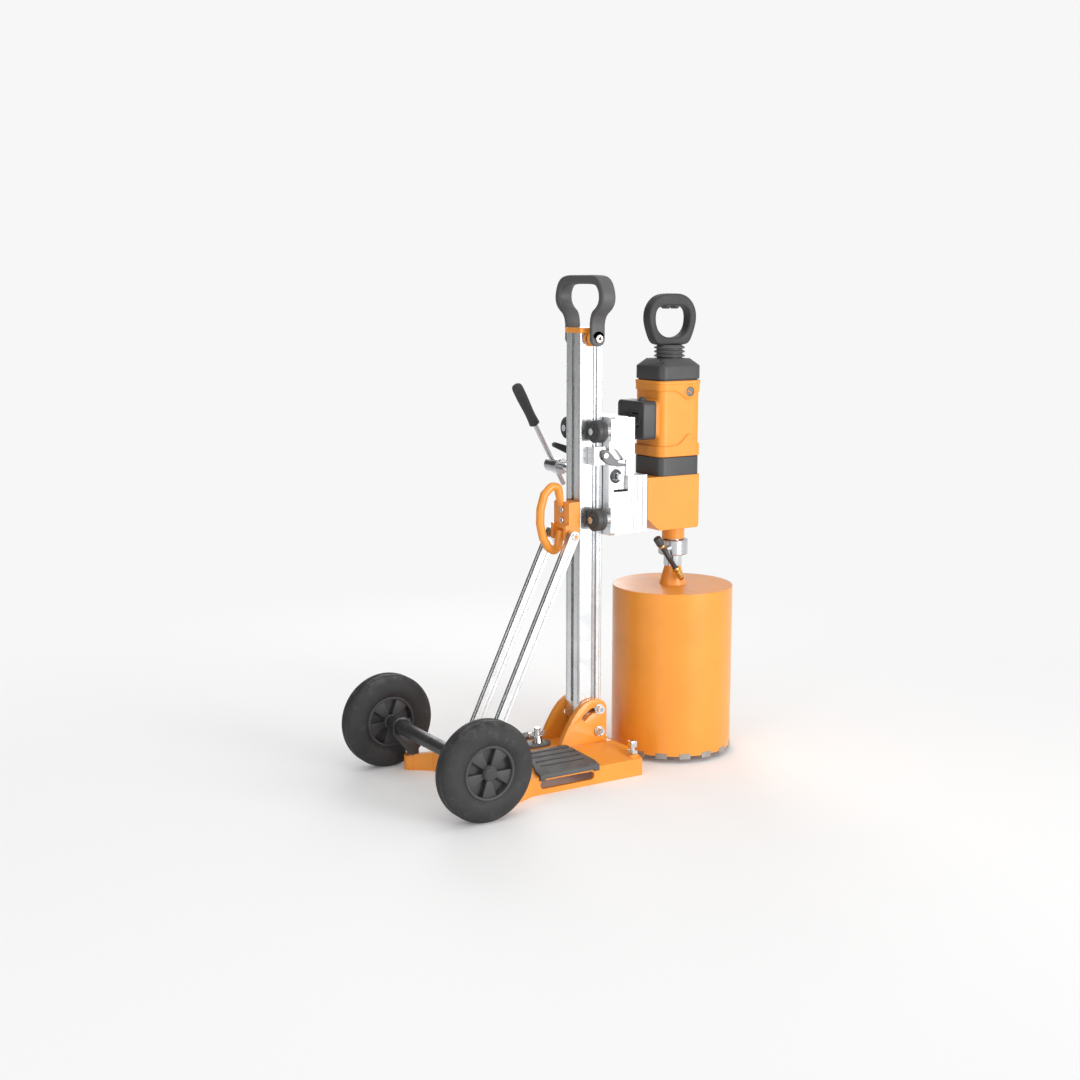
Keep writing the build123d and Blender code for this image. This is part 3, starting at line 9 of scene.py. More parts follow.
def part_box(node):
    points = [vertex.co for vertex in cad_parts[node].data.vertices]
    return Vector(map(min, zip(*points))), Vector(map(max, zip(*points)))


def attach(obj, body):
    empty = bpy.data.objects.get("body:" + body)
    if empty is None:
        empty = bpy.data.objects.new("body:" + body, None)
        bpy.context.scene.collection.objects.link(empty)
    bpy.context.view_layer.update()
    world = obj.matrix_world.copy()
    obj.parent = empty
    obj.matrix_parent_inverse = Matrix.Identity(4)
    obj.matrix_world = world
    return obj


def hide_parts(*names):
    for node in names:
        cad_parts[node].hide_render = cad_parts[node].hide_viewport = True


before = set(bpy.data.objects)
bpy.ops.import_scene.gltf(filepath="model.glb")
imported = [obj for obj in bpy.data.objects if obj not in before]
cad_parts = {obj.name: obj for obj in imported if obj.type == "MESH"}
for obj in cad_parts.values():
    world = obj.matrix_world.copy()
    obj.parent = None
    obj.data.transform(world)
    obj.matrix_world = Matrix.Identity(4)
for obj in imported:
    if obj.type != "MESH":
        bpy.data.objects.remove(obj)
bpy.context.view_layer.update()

bl_info = {
    "name": "Core Drill Rig",
    "version": (1, 0, 0),
    "blender": (4, 5, 0),
    "location": "View3D > Sidebar > Drill Rig",
    "description": "Builds the detailed pieces, finishes and studio of a wheeled core drill rig",
    "category": "Object",
}

MM = 0.001
FINISH = {}

# places on the rig in millimetres, as the frame has them
DECK_TOP = 66.1
FRONT_NUT_SEAT = 52.3
TILT_PIVOT = (14.0, 92.0)
AXLE = (-416.0, 115.0)
HANDLE_PIVOT_Z = 1040.0
BRACE_PIN = (-61, 577)
CLAMP_SCREW_HEIGHTS = (612, 637)
FEED_AXIS = (52, 714.5)
MOTOR_CORNER = 19.0

# studio
BEHIND = (-0.52, 0.84, 0.0)
BACKDROP = 0.93
CAMERA_PLACE = (-2.063, -3.127, 1.173)
CAMERA_DOWN, CAMERA_TURN = 9.34, 31.8
CAMERA_LENS, CAMERA_SENSOR = 52.5, 36


# ---------------------------------------------------------------- settings
def colour_setting(name, description, value):
    return bpy.props.FloatVectorProperty(
        name=name, description=description, default=value, subtype="COLOR", size=3, min=0.0, max=1.0)


def size_setting(name, description, millimetres):
    return bpy.props.FloatProperty(
        name=name, description=description, default=millimetres * MM, min=0.0, unit="LENGTH")


class RigColours(bpy.types.PropertyGroup):
    """Colours of the rig's finishes."""

    orange: colour_setting("Orange paint", "Powder coat on the base, bit and motor", (0.88, 0.315, 0.03))
    worn: colour_setting("Worn paint", "Primer and metal seen where the paint has rubbed", (0.5, 0.25, 0.1))
    alloy: colour_setting("Bare alloy", "Mast, braces and carriage", (0.82, 0.83, 0.84))
    steel: colour_setting("Bare steel", "Guide rods, rack and shafts", (0.56, 0.57, 0.59))
    black: colour_setting("Black plastic", "Switch box, cap and gear band", (0.045, 0.045, 0.046))
    grey: colour_setting("Grey plastic", "Carry handle, foot treads and grip neck", (0.078, 0.078, 0.079))
    tyre: colour_setting("Tyre rubber", "Solid rubber tyres", (0.018, 0.018, 0.019))


class RigSizes(bpy.types.PropertyGroup):
    """Sizes of the details that the frame leaves plain."""

    plate_edge: size_setting("Plate edge", "Round seen on the steel plate's edges", 1.1)
    spoke_depth: size_setting("Sector recess", "How far the hub's sectors sit under its rim", 5.0)
    groove: size_setting("Tread groove", "Depth of the grooves in the foot treads", 5.0)
    seam: size_setting("Shell step", "Step at the wavy seams of the motor shell", 3.8)


# ---------------------------------------------------------------- modelling helpers
def clear_selection():
    if bpy.context.object and bpy.context.object.mode != "OBJECT":
        bpy.ops.object.mode_set(mode="OBJECT")
    bpy.ops.object.select_all(action="DESELECT")


def select_only(*objects):
    clear_selection()
    for obj in objects:
        obj.select_set(True)
    bpy.context.view_layer.objects.active = objects[0]


def edit(obj, action="SELECT"):
    select_only(obj)
    bpy.ops.object.mode_set(mode="EDIT")
    bpy.ops.mesh.select_all(action=action)


def leave_edit():
    bpy.ops.object.mode_set(mode="OBJECT")


def add_circle(points, fill="NOTHING"):
    """Adds a circle with one vertex for each point (mm) and sets its vertices there."""
    clear_selection()
    bpy.ops.mesh.primitive_circle_add(vertices=len(points), radius=0.01, fill_type=fill)
    obj = bpy.context.object
    for vertex, point in zip(obj.data.vertices, points):
        vertex.co = Vector(point) * MM
    return obj


def mend_normals(obj, merge=1e-6):
    edit(obj)
    bpy.ops.mesh.remove_doubles(threshold=merge)
    bpy.ops.mesh.delete_loose(use_verts=True, use_edges=True, use_faces=False)
    bpy.ops.mesh.select_all(action="SELECT")
    bpy.ops.mesh.normals_make_consistent(inside=False)
    leave_edit()
    return obj


def prism(points, offset):
    """Extrudes a filled outline (mm) along an offset (mm)."""
    obj = add_circle(points, "NGON")
    edit(obj)
    bpy.ops.mesh.extrude_region_move(TRANSFORM_OT_translate={"value": Vector(offset) * MM})
    leave_edit()
    return mend_normals(obj)


def ring_prism(outer, inner, offset):
    """Extrudes the band between two outlines of equal count."""
    obj = add_circle(outer)
    hole = add_circle(inner)
    select_only(obj, hole)
    bpy.ops.object.join()
    edit(obj)
    bpy.ops.mesh.bridge_edge_loops()
    bpy.ops.mesh.select_all(action="SELECT")
    bpy.ops.mesh.extrude_region_move(TRANSFORM_OT_translate={"value": Vector(offset) * MM})
    leave_edit()
    return mend_normals(obj)


def loft(rings):
    """Skins closed rings of equal count; each ring is extruded from the one before and set in place."""
    obj = add_circle(rings[0], "NGON")
    edit(obj)
    for last, ring in zip(rings, rings[1:]):
        bpy.ops.mesh.extrude_region_move(TRANSFORM_OT_translate={"value": (0, 0, 0)})
        leave_edit()
        places = {tuple(round(c, 3) for c in point): target for point, target in zip(last, ring)}
        for vertex in obj.data.vertices:
            if vertex.select:
                spot = tuple(round(c / MM, 3) for c in vertex.co)
                key = min(places, key=lambda p: sum((a - b) ** 2 for a, b in zip(p, spot)))
                vertex.co = Vector(places[key]) * MM
        bpy.ops.object.mode_set(mode="EDIT")
    leave_edit()
    return mend_normals(obj)


def axis_point(axis, centre, radius, along):
    x, y, z = centre
    if axis == "X":
        return (x + along, y + radius, z)
    if axis == "Y":
        return (x + radius, y + along, z)
    return (x + radius, y, z + along)


def lathe(axis, centre, profile, steps=72):
    """Spins a closed profile of (radius, along) points about an axis through a centre."""
    obj = add_circle([axis_point(axis, centre, r, h) for r, h in profile])
    turn = {"X": (1, 0, 0), "Y": (0, 1, 0), "Z": (0, 0, 1)}[axis]
    edit(obj)
    bpy.ops.mesh.spin(steps=steps, angle=tau, center=Vector(centre) * MM, axis=turn)
    leave_edit()
    return mend_normals(obj)


def cuboid(low, high):
    clear_selection()
    centre = (Vector(low) + Vector(high)) * 0.5 * MM
    bpy.ops.mesh.primitive_cube_add(size=1, location=centre, scale=(Vector(high) - Vector(low)) * MM)
    obj = bpy.context.object
    bpy.ops.object.transform_apply(location=True, rotation=True, scale=True)
    return obj


def round_edges(obj, width, segments=3, angle=30):
    """Rounds the edges sharper than an angle; the width is in millimetres."""
    select_only(obj)
    bevel = obj.modifiers.new("edge round", "BEVEL")
    bevel.width = width * MM
    bevel.segments = segments
    bevel.limit_method = "ANGLE"
    bevel.angle_limit = radians(angle)
    bpy.ops.object.modifier_apply(modifier="edge round")
    return obj


def cut(obj, *tools):
    """Takes the tools' space out of a piece."""
    for tool in tools:
        select_only(obj)
        saw = obj.modifiers.new("cut", "BOOLEAN")
        saw.operation = "DIFFERENCE"
        saw.solver = "EXACT"
        saw.object = tool
        bpy.ops.object.modifier_apply(modifier="cut")
        bpy.data.objects.remove(tool)
    return obj


def joined(*objects):
    select_only(*objects)
    if len(objects) > 1:
        bpy.ops.object.join()
    return objects[0]


def assembled(pieces, finish):
    """Gives all the pieces one finish and joins them into the first."""
    for piece in pieces:
        painted(piece, finish)
    return joined(*pieces)


def copy_of(obj):
    select_only(obj)
    bpy.ops.object.duplicate(linked=False)
    return bpy.context.object


def turned(obj, axis, angle, centre):
    """Turns a piece's mesh about an axis through a centre (mm)."""
    pivot = Matrix.Translation(Vector(centre) * MM)
    obj.data.transform(pivot @ Matrix.Rotation(angle, 4, axis) @ pivot.inverted())
    return obj


def moved(obj, offset):
    obj.data.transform(Matrix.Translation(Vector(offset) * MM))
    return obj


def flipped_y(obj):
    """Mirrors a piece's mesh through the plane of the mast."""
    obj.data.transform(Matrix.Diagonal((1, -1, 1, 1)))
    edit(obj)
    bpy.ops.mesh.flip_normals()
    leave_edit()
    return obj


def painted(obj, finish):
    obj.data.materials.clear()
    obj.data.materials.append(FINISH[finish])
    return obj


def finish_piece(obj, name, body, nodes=(), smooth=32):
    """Shades a piece, names it, rides it on its body and hides the nodes it stands for."""
    select_only(obj)
    bpy.ops.object.transform_apply(location=True, rotation=True, scale=True)
    bpy.ops.object.shade_smooth_by_angle(angle=radians(smooth))
    obj.name = name
    obj.data.name = name
    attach(obj, body)
    if nodes:
        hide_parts(*nodes)
    obj.select_set(False)
    return obj


def box_mm(node):
    low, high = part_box(node)
    return low / MM, high / MM


def rounded(cx, cy, half_x, half_y, radius, z, along=0, corner=6):
    """A rounded rectangle's points at one height, with extra points along its straight sides."""
    points = []
    for i, (sx, sy) in enumerate(((1, 1), (-1, 1), (-1, -1), (1, -1))):
        x, y = cx + sx * (half_x - radius), cy + sy * (half_y - radius)
        arc = [(x + radius * cos(a), y + radius * sin(a), z)
               for a in (pi / 2 * (i + k / corner) for k in range(corner + 1))]
        if points and along:
            start, end = Vector(points[-1]), Vector(arc[0])
            points += [tuple(start.lerp(end, (k + 1) / (along + 1))) for k in range(along)]
        points += arc
    if along:
        start, end = Vector(points[-1]), Vector(points[0])
        points += [tuple(start.lerp(end, (k + 1) / (along + 1))) for k in range(along)]
    return points


def even_path(points, count):
    """Spaces points evenly along a closed line through the given corners, with its corners eased."""
    line = [Vector(p) for p in points]
    for _ in range(2):
        eased = []
        for here, after in zip(line, line[1:] + line[:1]):
            eased += [here.lerp(after, 0.25), here.lerp(after, 0.75)]
        line = eased
    closed = line + line[:1]
    lengths = [(b - a).length for a, b in zip(closed, closed[1:])]
    step = sum(lengths) / count
    out, index, left = [], 0, 0.0
    for k in range(count):
        target = k * step
        while left + lengths[index] < target:
            left += lengths[index]
            index += 1
        out.append(tuple(closed[index].lerp(closed[index + 1], (target - left) / lengths[index])))
    return out


# ---------------------------------------------------------------- finishes
class Wiring:
    """Adds nodes to a tree and links them as it goes."""

    def __init__(self, tree):
        self.tree = tree

    def add(self, kind, inputs=None, **facts):
        node = self.tree.nodes.new(kind)
        for key, value in facts.items():
            setattr(node, key, value)
        for key, value in (inputs or {}).items():
            self.feed(value, node.inputs[key])
        return node

    def feed(self, value, socket):
        if isinstance(value, bpy.types.NodeSocket):
            self.tree.links.new(value, socket)
        else:
            socket.default_value = value

    def band(self, value, low, high, to_low=0.0, to_high=1.0, **facts):
        return self.add("ShaderNodeMapRange", {
            "Value": value, "From Min": low, "From Max": high, "To Min": to_low, "To Max": to_high,
        }, **facts).outputs["Result"]

    def along(self, place, direction):
        return self.add("ShaderNodeVectorMath", {0: place, 1: direction},
                        operation="DOT_PRODUCT").outputs["Value"]


class Recipe(Wiring):
    """Builds one procedural finish node by node."""

    def __init__(self, name):
        self.material = bpy.data.materials.new(name)
        self.material.use_nodes = True
        super().__init__(self.material.node_tree)
        self.shader = self.tree.nodes["Principled BSDF"]
        self.place = self.add("ShaderNodeTexCoord").outputs["Object"]

    def noise(self, scale, detail=3.0, stretch=(1, 1, 1), rough=0.55):
        spot = self.add("ShaderNodeMapping", {"Vector": self.place, "Scale": stretch})
        return self.add("ShaderNodeTexNoise", {
            "Vector": spot.outputs["Vector"], "Scale": scale, "Detail": detail, "Roughness": rough,
        }).outputs["Fac"]

    def sums(self, operation, first, second):
        return self.add("ShaderNodeMath", {0: first, 1: second}, operation=operation,
                        use_clamp=True).outputs[0]

    def mix(self, amount, first, second):
        node = self.add("ShaderNodeMix", {"Factor": amount}, data_type="RGBA")
        for index, value in ((6, first), (7, second)):
            self.feed((*value, 1.0) if isinstance(value, (tuple, list)) and len(value) == 3 else value,
                      node.inputs[index])
        return node.outputs[2]

    def edges(self, radius):
        """Rounded normal and a mask that is high along the piece's sharp edges."""
        normal = self.add("ShaderNodeBevel", {"Radius": radius}, samples=4).outputs["Normal"]
        true = self.add("ShaderNodeNewGeometry").outputs["Normal"]
        return normal, self.band(self.along(normal, true), 0.995, 0.8)

    def bump(self, height, strength, distance, normal):
        return self.add("ShaderNodeBump", {
            "Height": height, "Strength": strength, "Distance": distance, "Normal": normal,
        }).outputs["Normal"]


def make_finish(name, colour, shade, rough, metal=0.0, grain=900.0, grain_depth=0.00006,
                grain_pull=(1, 1, 1), worn=None, wear=0.0, scratches=0.25, dust=0.12, edge=0.0011,
                spread=0.12, coat=0.0, mottle=9.0, blotch=None, blotch_amount=0.0):
    """A finish with mottled colour, rubbed edges, fine scratches, dust on upward faces and a grain."""
    r = Recipe(name)
    r.shader.inputs["Metallic"].default_value = metal
    r.shader.inputs["Coat Weight"].default_value = coat
    r.shader.inputs["Coat Roughness"].default_value = 0.18
    broad = r.noise(mottle, 4.0)
    tint = r.mix(r.band(broad, 0.35, 0.7), colour, shade)
    if blotch:
        marks = r.band(r.noise(42.0, 6.0, rough=0.7), 0.56, 0.74, 0.0, blotch_amount)
        tint = r.mix(marks, tint, blotch)
    normal, edge_mask = r.edges(edge)
    fine = r.noise(260.0, 5.0, rough=0.75)
    rubbed = r.sums("MULTIPLY", edge_mask, r.band(fine, 0.42, 0.62, 0.0, wear))
    if worn:
        tint = r.mix(rubbed, tint, worn)
    hair = r.band(r.noise(70.0, 2.0, (7.0, 5.0, 0.35), 0.4), 0.71, 0.735, 0.0, scratches)
    pale = tuple(min(1.0, c * 1.35 + 0.03) for c in colour)
    tint = r.mix(hair, tint, pale)
    up = r.add("ShaderNodeSeparateXYZ", {0: normal}).outputs["Z"]
    settled = r.sums("MULTIPLY", r.band(up, 0.35, 1.0),
                     r.band(r.noise(28.0, 6.0, rough=0.68), 0.42, 0.78, 0.0, dust))
    tint = r.mix(settled, tint, (0.52, 0.5, 0.47))
    r.feed(tint, r.shader.inputs["Base Color"])
    patches = r.band(r.noise(23.0, 5.0), 0.3, 0.72, rough - spread / 2, rough + spread / 2)
    r.feed(r.sums("ADD", patches, r.sums("MULTIPLY", settled, 0.5)), r.shader.inputs["Roughness"])
    grained = r.bump(r.noise(grain, 2.0, grain_pull), 0.55, grain_depth, normal)
    r.feed(r.bump(hair, 0.3, 0.00005, grained), r.shader.inputs["Normal"])
    FINISH[name] = r.material


FINISH_OF = {
    "orange_steel": "base_plate brace_clamp grab_handle mast_cap bit_hub bit_barrel",
    "orange_cast": "gear_case",
    "bare_alloy": "carriage_blocks clamp_blocks",
    "mast_alloy": "mast",
    "block_alloy": "carriage_body motor_bracket",
    "brace_alloy": "braces",
    "guide_steel": "guide_rods gear_rack",
    "chrome": "tilt_screws roller_bolts level_screw_front_right level_screw_front_left "
              "level_screw_rear_right level_screw_rear_left anchor_wing_nut jam_nuts feed_shaft spindle",
    "collar_steel": "water_collar crank_arm",
    "black_steel": "axle_sleeve axle_rod brake_lever",
    "lever_steel": "lock_lever brush_sets",
    "black_plastic": "gear_band power_rocker speed_dial",
    "level_vial": "bubble_level",
    "diamond_segment": "bit_segments",
    "copper_winding": "stator armature",
    "oiled_steel": "bearings lay_shaft",
}


class RIG_OT_finishes(bpy.types.Operator):
    """Makes the rig's finishes and puts one on each frame node that FINISH_OF lists"""

    bl_idname = "rig.finishes"
    bl_label = "Finishes"

    def execute(self, context):
        hue = context.scene.rig_colours
        edge = context.scene.rig_sizes.plate_edge
        orange, worn = tuple(hue.orange), tuple(hue.worn)
        deep = tuple(c * 0.9 for c in orange)
        alloy, steel, black, grey = tuple(hue.alloy), tuple(hue.steel), tuple(hue.black), tuple(hue.grey)
        dull = tuple(c * 0.88 for c in alloy)
        make_finish("orange_steel", orange, deep, 0.36, worn=worn, wear=0.75, grain=620.0,
                    grain_depth=0.00009, coat=0.25, edge=edge, scratches=0.22)
        make_finish("orange_cast", orange, deep, 0.42, worn=worn, wear=0.45, grain=420.0,
                    grain_depth=0.00012, coat=0.15, edge=1.6 * edge, scratches=0.15, dust=0.06)
        make_finish("orange_shell", orange, deep, 0.44, worn=tuple(c * 1.15 for c in deep), wear=0.4,
                    grain=1500.0, grain_depth=0.00005, edge=edge, scratches=0.12, dust=0.06)
        make_finish("bare_alloy", alloy, dull, 0.3, 1.0, grain=340.0, grain_depth=0.00003,
                    grain_pull=(1, 1, 14), scratches=0.15, worn=(1.0, 1.0, 1.0), wear=0.5, edge=edge,
                    dust=0.04)
        make_finish("block_alloy", alloy, dull, 0.33, 1.0, grain=300.0, grain_depth=0.00004,
                    grain_pull=(12, 1, 1), scratches=0.15, worn=(1.0, 1.0, 1.0), wear=0.5, edge=edge,
                    dust=0.04)
        make_finish("mast_alloy", alloy, dull, 0.27, 1.0, grain=420.0, grain_depth=0.00003,
                    grain_pull=(6, 6, 0.12), scratches=0.16, edge=0.4 * edge, spread=0.14, dust=0.02)
        make_finish("brace_alloy", alloy, dull, 0.3, 1.0, grain=420.0, grain_depth=0.00003,
                    grain_pull=(4, 8, 0.4), scratches=0.14, edge=edge, spread=0.12, dust=0.02)
        make_finish("guide_steel", steel, tuple(c * 0.8 for c in steel), 0.24, 1.0, grain=500.0,
                    grain_depth=0.00002, grain_pull=(5, 5, 0.2), scratches=0.2, edge=0.4 * edge, dust=0.03,
                    blotch=(0.12, 0.1, 0.08), blotch_amount=0.35)
        make_finish("chrome", (0.78, 0.79, 0.81), (0.68, 0.69, 0.71), 0.14, 1.0, grain=300.0,
                    grain_depth=0.00001, scratches=0.3, edge=0.5 * edge, spread=0.1, dust=0.05)
        make_finish("collar_steel", (0.63, 0.64, 0.66), (0.5, 0.51, 0.53), 0.26, 1.0, grain=380.0,
                    grain_depth=0.00003, grain_pull=(1, 1, 9), scratches=0.3, edge=edge, dust=0.05)
        make_finish("brass", (0.78, 0.52, 0.16), (0.6, 0.38, 0.11), 0.24, 1.0, grain=500.0,
                    grain_depth=0.00002, scratches=0.3, blotch=(0.25, 0.14, 0.06), blotch_amount=0.5)
        make_finish("black_steel", (0.035, 0.036, 0.038), (0.05, 0.051, 0.053), 0.4, 0.3,
                    worn=(0.3, 0.3, 0.3), wear=0.6, grain=600.0, coat=0.1, edge=edge, dust=0.15)
        make_finish("lever_steel", (0.16, 0.16, 0.165), (0.12, 0.12, 0.125), 0.4, 0.8, worn=(0.5, 0.5, 0.5),
                    wear=0.7, grain=500.0, edge=edge, dust=0.06)
        make_finish("black_plastic", black, tuple(c * 1.3 for c in black), 0.46, worn=(0.12, 0.12, 0.12),
                    wear=0.4, grain=1700.0, grain_depth=0.00006, edge=edge, dust=0.1)
        make_finish("grey_plastic", grey, tuple(c * 1.22 for c in grey), 0.5, worn=(0.15, 0.15, 0.15),
                    wear=0.4, grain=1500.0, grain_depth=0.00007, edge=edge, dust=0.14)
        make_finish("hub_plastic", (0.038, 0.038, 0.039), (0.047, 0.047, 0.048), 0.5,
                    worn=(0.12, 0.12, 0.12), wear=0.4, grain=1500.0, grain_depth=0.00007, edge=edge,
                    dust=0.14)
        make_finish("grip_rubber", (0.03, 0.03, 0.031), (0.042, 0.042, 0.043), 0.6, worn=(0.13, 0.13, 0.13),
                    wear=0.3, grain=900.0, grain_depth=0.00012, edge=edge, dust=0.14)
        make_finish("tyre", tuple(hue.tyre), tuple(c * 1.4 for c in hue.tyre), 0.66, worn=(0.1, 0.1, 0.1),
                    wear=0.4, grain=700.0, grain_depth=0.00014, edge=edge, dust=0.4, scratches=0.12,
                    spread=0.16, mottle=14.0, blotch=(0.16, 0.15, 0.14), blotch_amount=0.2)
        make_finish("level_vial", (0.3, 0.55, 0.12), (0.36, 0.62, 0.16), 0.16, grain=200.0,
                    grain_depth=0.00001, coat=0.6)
        make_finish("diamond_segment", (0.44, 0.42, 0.39), (0.3, 0.29, 0.27), 0.55, 0.7, grain=1100.0,
                    grain_depth=0.0004, worn=(0.7, 0.68, 0.64), wear=0.8, blotch=(0.16, 0.13, 0.1),
                    blotch_amount=0.5)
        make_finish("copper_winding", (0.6, 0.26, 0.12), (0.45, 0.18, 0.08), 0.35, 0.9, grain=500.0,
                    grain_depth=0.0002, grain_pull=(1, 1, 9))
        make_finish("oiled_steel", (0.4, 0.4, 0.41), (0.3, 0.3, 0.31), 0.25, 1.0, coat=0.3)
        for finish, nodes in FINISH_OF.items():
            for node in nodes.split():
                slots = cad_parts[node].data.materials
                slots.clear()
                slots.append(FINISH[finish])
        return {"FINISHED"}


# ---------------------------------------------------------------- wheels
def wheel_parts(tyre_node, depth):
    """Tyre and hub of one wheel; both faces of the hub carry the same five sectors."""
    low, high = box_mm(tyre_node)
    centre = tuple((low + high) / 2)
    radius = (high.z - low.z) / 2
    half = (high.y - low.y) / 2
    hub = radius * 0.555
    shoulder = [(hub - 6, half - 13), (hub - 2, half - 6), (hub + 4, half - 3), (hub + 7, half - 1.4),
                (hub + 16, half), (radius - 22, half - 1), (radius - 13, half - 3.6),
                (radius - 7, half - 7.5), (radius - 3.4, half - 11.5), (radius - 2.2, half - 13.6),
                (radius - 2.9, half - 14.6), (radius - 0.6, half - 15.8), (radius, half - 19),
                (radius, 5.2), (radius - 1.6, 4.2)]
    profile = shoulder + [(r, -w) for r, w in reversed(shoulder)]
    tyre = painted(lathe("Y", centre, profile, 96), "tyre")

    rim_out, rim_in, boss = hub - 1.5, hub - 9, 17.5
    lip = [(rim_in, half - 16), (rim_in + 0.6, half - 5.2), (rim_in + 2, half - 3.6),
           (rim_out - 2, half - 3.2), (rim_out, half - 5), (rim_out, half - 16)]
    rim = lathe("Y", centre, lip + [(r, -w) for r, w in reversed(lip)], 72)
    web = lathe("Y", centre, [(9.8, 8), (rim_in + 2, 8), (rim_in + 2, -8), (9.8, -8)], 48)
    hub_end = [(10.6, half - 9), (10.9, half - 3.4), (boss - 2, half - 3.2), (boss, half - 5), (boss, 0)]
    core = lathe("Y", centre, hub_end + [(r, -w) for r, w in reversed(hub_end[:-1])], 48)
    pieces = [rim, web, core]
    face = half - depth / MM - 3.5
    x, y, z = centre
    sector = [(x - 6, y - face, z - boss + 1.5), (x - 18.5, y - face, z - rim_in - 0.5),
              (x - 9.5, y - face, z - rim_in - 3), (x, y - face, z - rim_in - 3.8),
              (x + 9.5, y - face, z - rim_in - 3), (x + 18.5, y - face, z - rim_in - 0.5),
              (x + 6, y - face, z - boss + 1.5)]
    blade = round_edges(prism(sector, (0, 2 * face, 0)), 1.6, 3)
    for i in range(1, 5):
        pieces.append(turned(copy_of(blade), "Y", tau * i / 5, centre))
    pieces.append(blade)
    return tyre, assembled(pieces, "hub_plastic")


class RIG_OT_wheels(bpy.types.Operator):
    """Solid tyres on moulded hubs with five raised sectors"""

    bl_idname = "rig.wheels"
    bl_label = "Wheels"

    def execute(self, context):
        tyre, hub = wheel_parts("wheel_right_tyre", context.scene.rig_sizes.spoke_depth)
        low, high = box_mm("wheel_right_tyre")
        across = -(low.y + high.y)
        for part, obj, slot in (("tyre", tyre, "tyre"), ("hub", hub, "grey_plastic")):
            twin = moved(copy_of(obj), (0, across, 0))
            finish_piece(obj, f"{part}_right", "wheel_right", [f"wheel_right_{part}"])
            finish_piece(twin, f"{part}_left", "wheel_left", [f"wheel_left_{part}"])
        return {"FINISHED"}


# ---------------------------------------------------------------- base
class RIG_OT_treads(bpy.types.Operator):
    """Ribbed foot treads that wrap over the sides of the base"""

    bl_idname = "rig.treads"
    bl_label = "Foot treads"

    def execute(self, context):
        low, high = box_mm("foot_treads")
        x0, x1, y0 = low.x, high.x, low.y
        z1 = high.z
        top_in, crest = -52.0, -62.0
        fall = (66 - 42) / (155 - 62)
        skirt = 34

        def surface(y, lift):
            return z1 + lift - max(0.0, crest - y) * fall

        section = [(top_in, z1 - 7.8), (top_in, z1 - 2), (top_in - 2, z1), (crest, z1),
                   (y0 + 2.5, surface(y0 + 2.5, 0.3)), (y0, surface(y0, -2)), (y0, skirt),
                   (y0 + 5.6, skirt), (y0 + 5.6, surface(y0 + 5.6, -8)), (crest, z1 - 7.8)]
        body = prism([(x0, y, z) for y, z in section], (x1 - x0, 0, 0))
        corner = 30.0
        for x, turn in ((x1, -1), (x0, 1)):
            wedge = [(x - turn * 4, top_in + 4, 0), (x + turn * corner, top_in + 4, 0),
                     (x - turn * 4, y0 + 12, 0)]
            cut(body, prism(wedge, (0, 0, 200)))
        cut(body, cuboid((x0 + 14, y0 - 3, 0), (x1 - 14, y0 + 7, skirt + 4)))
        round_edges(body, 1.2, 2)
        depth = context.scene.rig_sizes.groove / MM
        for y in (-68, -87, -106, -125):
            inset = 12 + 0.24 * (y + 130) / 2
            ends = [(x0 + 24 - inset / 3, y - 3.3), (x1 - 26 + inset / 3, y - 3.3),
                    (x1 - 26 + inset / 3 - 3, y + 3.3), (x0 + 24 - inset / 3 + 3, y + 3.3)]
            floor = [(x, yy, surface(yy, -depth)) for x, yy in ends]
            cut(body, prism(floor, (0, 0, 12)))
        painted(body, "grey_plastic")
        far = flipped_y(copy_of(body))
        finish_piece(joined(body, far), "treads", "base", ["foot_treads"])
        return {"FINISHED"}


def socket_head(axis, centre, out, radius, tall):
    """Cap screw head whose recess holds a dark hexagon as painted shade, facing out (+1 or -1) along its
    axis.
    """
    rim = [(radius * 0.46, 0), (radius * 0.46, tall), (radius - 1, tall), (radius, tall - 1), (radius, 0)]
    head = painted(lathe(axis, centre, [(r, out * h) for r, h in rim], 40), "chrome")
    # the dark hexagon at the recess floor is painted shade in the socket
    socket_shade = [(0, 0), (radius * 0.5, 0), (radius * 0.5, tall * 0.45), (0, tall * 0.45)]
    return [head, painted(lathe(axis, centre, [(r, out * h) for r, h in socket_shade], 6), "black_steel")]


